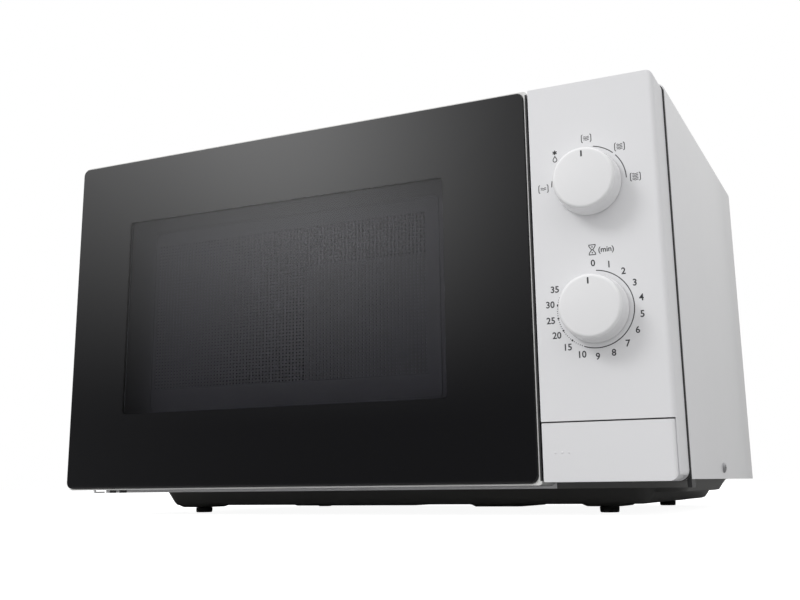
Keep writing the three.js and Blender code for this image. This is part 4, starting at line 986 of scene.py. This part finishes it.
def pressed_pan():
    """The base sheet: a flat rim, two side flanges, and soft pressings for the feet and the heavy parts."""
    x0, x1, y0, y1 = pan[:4]
    rim = rim_z + 1
    motor, core = edges_of("turntable_motor"), edges_of("transformer_core")
    floor_depth, pad_depth, step_depth = rim_z - pan[4] - 1.6, rim_z - pan[4], rim_z - pan[4] - 8.7
    pressings = [   # rectangle at the rim, depth, width of the slope
        (x0 + 37, x1 - 24, y0 + 15, y1 - 5, floor_depth, 13),
        (x1 - 61, x1 - 4, y0 + 22, y0 + 174, step_depth, 7),
        (core[0] - 49, core[0] + 5, y0 + 22, y0 + 98, pad_depth, 10),
        (motor[0] - 34, motor[1] + 34, motor[2] - 43, motor[3] + 41, pad_depth, 14)]
    for foot_name in FEET:
        foot = edges_of(foot_name)
        fx, fy = middle_of(*foot[:2]), middle_of(*foot[2:4])
        pressings.append((fx - 25, fx + 25, fy - 26, fy + 26, pad_depth, 13))

    def drop(x, y):
        deepest = 0.0
        for xa, xb, ya, yb, depth, slope in pressings:
            corner = slope + 3
            over = (abs(x - middle_of(xa, xb)) - (xb - xa) / 2 + corner,
                    abs(y - middle_of(ya, yb)) - (yb - ya) / 2 + corner)
            inside = corner - math.hypot(max(over[0], 0), max(over[1], 0)) - min(max(over), 0)
            share = min(max(inside / slope, 0.0), 1.0)
            deepest = max(deepest, depth * share * share * (3 - 2 * share))
        return deepest

    columns, rows = 180, 108
    verts = []
    for below in (0.0, 1):
        for j in range(rows + 1):
            for i in range(columns + 1):
                x, y = x0 + (x1 - x0) * i / columns, y0 + (y1 - y0) * j / rows
                verts.append((x, y, rim - below - drop(x, y)))
    wide, layer = columns + 1, (columns + 1) * (rows + 1)
    faces = []
    for j in range(rows):
        for i in range(columns):
            a = j * wide + i
            faces += [(a, a + 1, a + wide + 1, a + wide),
                      (layer + a, layer + a + wide, layer + a + wide + 1, layer + a + 1)]
    edge = list(range(wide)) + [wide * (j + 1) - 1 for j in range(1, rows + 1)]
    edge += [wide * rows + i for i in range(columns - 1, -1, -1)] + [wide * j for j in range(rows - 1, 0, -1)]
    faces += [(a, layer + a, layer + b, b) for a, b in zip(edge, edge[1:] + edge[:1])]
    parts = [tidy_mesh(mesh_object("sheet", verts, faces, dark_coat))]
    parts += [rounded_edges(block("flange", *sides, y0, y1, rim_z, pan[5], dark_coat), 0.3)
              for sides in ((x0, x0 + 1), (x1 - 1, x1))]
    return stands_for(joined("pressed_pan", parts), "base_pan")


pressed_pan()

tray = edges_of("glass_tray")
spindle = middle_of(*tray[:2]), middle_of(*tray[2:4])


def glass_plate():
    """Pressed glass: a flat floor with two rings, a soft heel and a rolled rim."""
    r, low, high = (tray[1] - tray[0]) / 2, tray[4], tray[5]
    wall = 5
    profile = [(0, low), (r * 0.84, low), (r * 0.885, low + 0.7), (r * 0.93, low + 2.5),
               (r * 0.965, low + 6.4), (r - 1.3, high - 3.9), (r - 0.3, high - 2.4),
               (r, high - 1.4), (r - 0.4, high - 0.4), (r - 1.4, high),
               (r - 3.2, high - 0.4), (r - 5, high - 1.7), (r * 0.93, low + 9.4),
               (r * 0.9, low + 6.8), (r * 0.87, low + 5.5), (r * 0.83, low + wall)]
    for share in (0.7, 0.4):
        profile += [(r * share + 1.6, low + wall), (r * share + 0.9, low + wall - 0.7),
                    (r * share - 0.9, low + wall - 0.7), (r * share - 1.6, low + wall)]
    profile.append((0, low + wall))
    return stands_for(turned("glass_plate", profile, "z", spindle, clear_glass, 128, 60), "glass_tray")


def roller_support():
    """The ring that carries the wheels, with its three axles, and the three wheels themselves."""
    wheel = edges_of("roller_wheel_1")
    ring = edges_of("roller_ring")
    track, width = middle_of(*wheel[:2]) - spindle[0], wheel[1] - wheel[0]
    axle_z = middle_of(*wheel[4:])
    outside, inside = track - width / 2 - 1.2, track - width / 2 - 8
    low, high, soft = ring[4], ring[5], 0.7
    profile = [(inside, low + soft), (inside + soft, low), (outside - soft, low), (outside, low + soft),
               (outside, high - soft), (outside - soft, high), (outside - 1.6, high),
               (outside - 2.1, high - 3.4), (inside + 2.1, high - 3.4), (inside + 1.6, high),
               (inside + soft, high), (inside, high - soft), (inside, low + soft)]
    parts = [turned("ring", profile, "z", spindle, grey_moulding, 128, 50)]
    for i in range(3):
        rod = turned("axle", [(0, track - width / 2 - 5), (1.5, track - width / 2 - 5),
                              (1.5, track + width / 2 + 0.2), (1.1, track + width / 2 + 0.6),
                              (0, track + width / 2 + 0.6)], "x", (0, 0), grey_moulding, 24)
        parts.append(moved(rod, (*spindle, axle_z), (0, 0, math.radians(120 * i))))
    stands_for(joined("roller_support", parts), "roller_ring")
    r, half = (wheel[5] - wheel[4]) / 2, width / 2
    side = [(1.8, -half), (3.1, -half), (3.1, -half + 0.9), (5.2, -half + 0.9),
            (5.2, -half), (r - 0.6, -half), (r - 0.15, -half + 0.3), (r, -half + 0.8)]
    profile = side + [(radius, -along) for radius, along in side[::-1]] + side[:1]
    for i in range(3):
        made = turned(f"wheel_{i + 1}", profile, "x", (0, 0), grey_moulding, 48)
        turn = math.radians(120 * i)
        moved(made, (*on_circle(spindle, track, turn), axle_z), (0, 0, turn))
        stands_for(made, f"roller_wheel_{i + 1}")


def oven_lamp():
    """A clear pear-shaped bulb with a bright metal cap."""
    x0, x1, y0, y1, z0, z1 = edges_of("cavity_lamp")
    centre, r = (middle_of(y0, y1), middle_of(z0, z1)), (z1 - z0) / 2
    turns = [i / 12 * 0.72 * math.pi for i in range(1, 13)]
    profile = [(0, x0)] + [(r * math.sin(turn), x0 + r * (1 - math.cos(turn))) for turn in turns]
    bulb = turned("bulb", profile + [(5.4, x0 + 18), (0, x0 + 18)], "x", centre, clear_glass, 48, 50)
    cap = [(0, x0 + 17.6)]
    for i in range(8):
        at = x0 + (17.6 + 1.7 * i)
        cap += [(5.6, at), (6.0, at + 0.6), (5.6, at + 1.2)]
    cap += [(3.5, x1), (0, x1)]
    shell = turned("cap", cap, "x", centre, bare_aluminium, 48, 50)
    return stands_for(joined("oven_lamp", [bulb, shell]), "cavity_lamp")


glass_plate()
roller_support()
oven_lamp()


# ---- Everything else: the CAD shape, welded, with soft edges and its finish ----

DRESSED = {   # node: finish, edge radius, and segments if more than two
    "front_plate": (white_coat, 0.3), "rear_panel": (zinc, 0.25), "cord_gland": (rubber, 0.4),
    "cavity_floor": (oven_enamel, 0.3), "cavity_ceiling": (oven_enamel, 0.3),
    "cavity_left_wall": (oven_enamel, 0.3), "cavity_right_wall": (oven_enamel, 0.3),
    "cavity_rear_wall": (oven_enamel, 0.3), "waveguide": (zinc, 0.4), "waveguide_cover": (mica_board, 0.15),
    "magnetron": (bare_aluminium, 0.3), "transformer_core": (plates, 0.4), "primary_coil": (copper, 2.0, 3),
    "secondary_coil": (copper, 2.0, 3), "capacitor": (bare_aluminium, 0.8), "capacitor_clamp": (zinc, 0.3),
    "hv_diode": (black_moulding, 0.4), "filter_board": (board_green, 0.3),
    "fan_housing": (grey_moulding, 0.5), "fan_motor": (plates, 0.5), "fan_blade": (grey_moulding, 0.3),
    "lamp_holder": (grey_moulding, 0.5), "thermal_cutout": (black_moulding, 0.3),
    "turntable_motor": (zinc, 0.8), "turntable_coupler": (grey_moulding, 0.5),
    "door_frame": (frame_moulding, 0.5, 3), "choke_cover": (black_moulding, 0.5),
    "latch_hook": (grey_moulding, 0.4), "lower_hinge": (zinc, 0.3), "upper_hinge": (zinc, 0.3),
    "power_shaft": (zinc, 0.3), "timer_shaft": (zinc, 0.3), "power_selector": (black_moulding, 0.6),
    "timer_unit": (zinc, 0.5), "latch_board": (grey_moulding, 0.4), "release_lever": (grey_moulding, 0.4),
    "primary_switch": (black_moulding, 0.4), "monitor_switch": (black_moulding, 0.4),
    "secondary_switch": (black_moulding, 0.4), "primary_plunger": (red_moulding, 0.2),
    "monitor_plunger": (red_moulding, 0.2), "secondary_plunger": (red_moulding, 0.2),
}

for node_name, (surface, *edge) in DRESSED.items():
    piece = welded_copy(node_name, node_name + "_look", surface)
    if node_name == "rear_panel":       # its lower edge is hidden by the cabinet's
        for vertex in piece.data.vertices:
            vertex.co.z = max(vertex.co.z, (cab[4] + 0.1) * MM)
    stands_for(rounded_edges(piece, *edge), node_name)


# ---- Floor, light and camera ----

FLOOR_HALF, FLOOR_GREY, FLOOR_SEEN = 6000, 0.4, 0.93     # the last is its glow to the camera alone
level = rest_low.z / MM
floor_mesh = mesh_object("floor", [(-FLOOR_HALF, -FLOOR_HALF, level), (FLOOR_HALF, -FLOOR_HALF, level),
                                   (FLOOR_HALF, FLOOR_HALF, level), (-FLOOR_HALF, FLOOR_HALF, level)],
                         [(0, 1, 2, 3)], bpy.data.materials.new("pale floor"))
floor_finish = floor_mesh.data.materials[0]
floor_finish.use_nodes = True
ground = floor_finish.node_tree
watched = node(ground, "ShaderNodeLightPath").outputs["Is Camera Ray"]
feed(ground, ground.nodes["Principled BSDF"], {
    "Base Color": (FLOOR_GREY, FLOOR_GREY, FLOOR_GREY, 1), "Roughness": 0.7, "Emission Color": (1, 1, 1, 1),
    "Emission Strength": maths(ground, "MULTIPLY", watched, FLOOR_SEEN)})

world = bpy.data.worlds.new("studio")
scene.world = world
world.use_nodes = True
sky = world.node_tree
sky.nodes.clear()
way = node(sky, "ShaderNodeSeparateXYZ", i0=node(sky, "ShaderNodeTexCoord").outputs["Generated"]).outputs


def ramp(axis, low, high, start, end):
    """From start to end between two places along an axis of the sky."""
    return node(sky, "ShaderNodeMapRange", {"interpolation_type": "SMOOTHSTEP"}, Value=way[axis],
                From_Min=low, From_Max=high, To_Min=start, To_Max=end).outputs[0]


def product(*factors):
    last = factors[-1]
    for factor in factors[-2::-1]:
        last = maths(sky, "MULTIPLY", factor, last)
    return last


overhead = product(ramp("Z", 0.02, 0.75, 0.5, 1.15), ramp("X", 0.1, 0.9, 1.0, 0.9))
softbox = product(ramp("Z", 0.05, 0.36, 0.0, 3.6), ramp("X", -0.72, -0.45, 0.32, 1.0),
                  ramp("X", -0.25, -0.57, 0.14, 1.0), ramp("Y", -0.35, -0.7, 0.0, 1.0))
front_dark = ramp("Y", -0.9, -0.2, 0.82, 0.0)
rays = node(sky, "ShaderNodeLightPath").outputs
dimmed = maths(sky, "SUBTRACT", 1.0, product(front_dark, rays["Is Glossy Ray"]))
strength = maths(sky, "ADD", product(overhead, dimmed), product(softbox, rays["Is Glossy Ray"]))
plain = node(sky, "ShaderNodeBackground", Color=(1, 1, 1, 1), Strength=1.0)
studio = node(sky, "ShaderNodeBackground", Color=(1, 1, 1, 1), Strength=strength)
seen = node(sky, "ShaderNodeMixShader", i0=rays["Is Camera Ray"], i1=studio.outputs[0], i2=plain.outputs[0])
sky.links.new(seen.outputs[0], sky.nodes.new("ShaderNodeOutputWorld").inputs["Surface"])


def softbox_light(name, place, target, size, power):
    lamp = bpy.data.lights.new(name, "AREA")
    lamp.shape = "RECTANGLE"
    lamp.size, lamp.size_y = size
    lamp.energy = power
    made = bpy.data.objects.new(name, lamp)
    made.location = place
    made.rotation_euler = (Vector(target) - Vector(place)).to_track_quat("-Z", "Y").to_euler()
    scene.collection.objects.link(made)
    made.visible_glossy = False


middle = (rest_low + rest_high) / 2
KEY_WATTS, FILL_WATTS = 24, 2
softbox_light("key", (-1.25, -1.65, 1.85), middle, (0.9, 0.7), KEY_WATTS)
softbox_light("fill", (1.9, -0.7, 0.8), middle, (1.2, 1.2), FILL_WATTS)

camera = bpy.data.objects.new("camera", bpy.data.cameras.new("camera"))
scene.collection.objects.link(camera)
scene.camera = camera
CAMERA_PLACE, YAW, PITCH, ROLL = (0.33665, -0.75889, 0.02018), 0.440116, 0.221072, 0.0126035
turn = Matrix.Rotation(YAW, 4, "Z") @ Matrix.Rotation(PITCH, 4, "X") @ Matrix.Rotation(ROLL, 4, "Y")
camera.matrix_world = Matrix.Translation(CAMERA_PLACE) @ turn @ Matrix.Rotation(math.pi / 2, 4, "X")
camera.data.sensor_width = 36
camera.data.lens = 45.99
camera.data.shift_x = -0.0007
camera.data.shift_y = -0.0576
camera.data.clip_start = 0.01
camera.data.dof.use_dof = False
scene.view_settings.view_transform = "Standard"

bpy.data.objects.remove(small_screw)
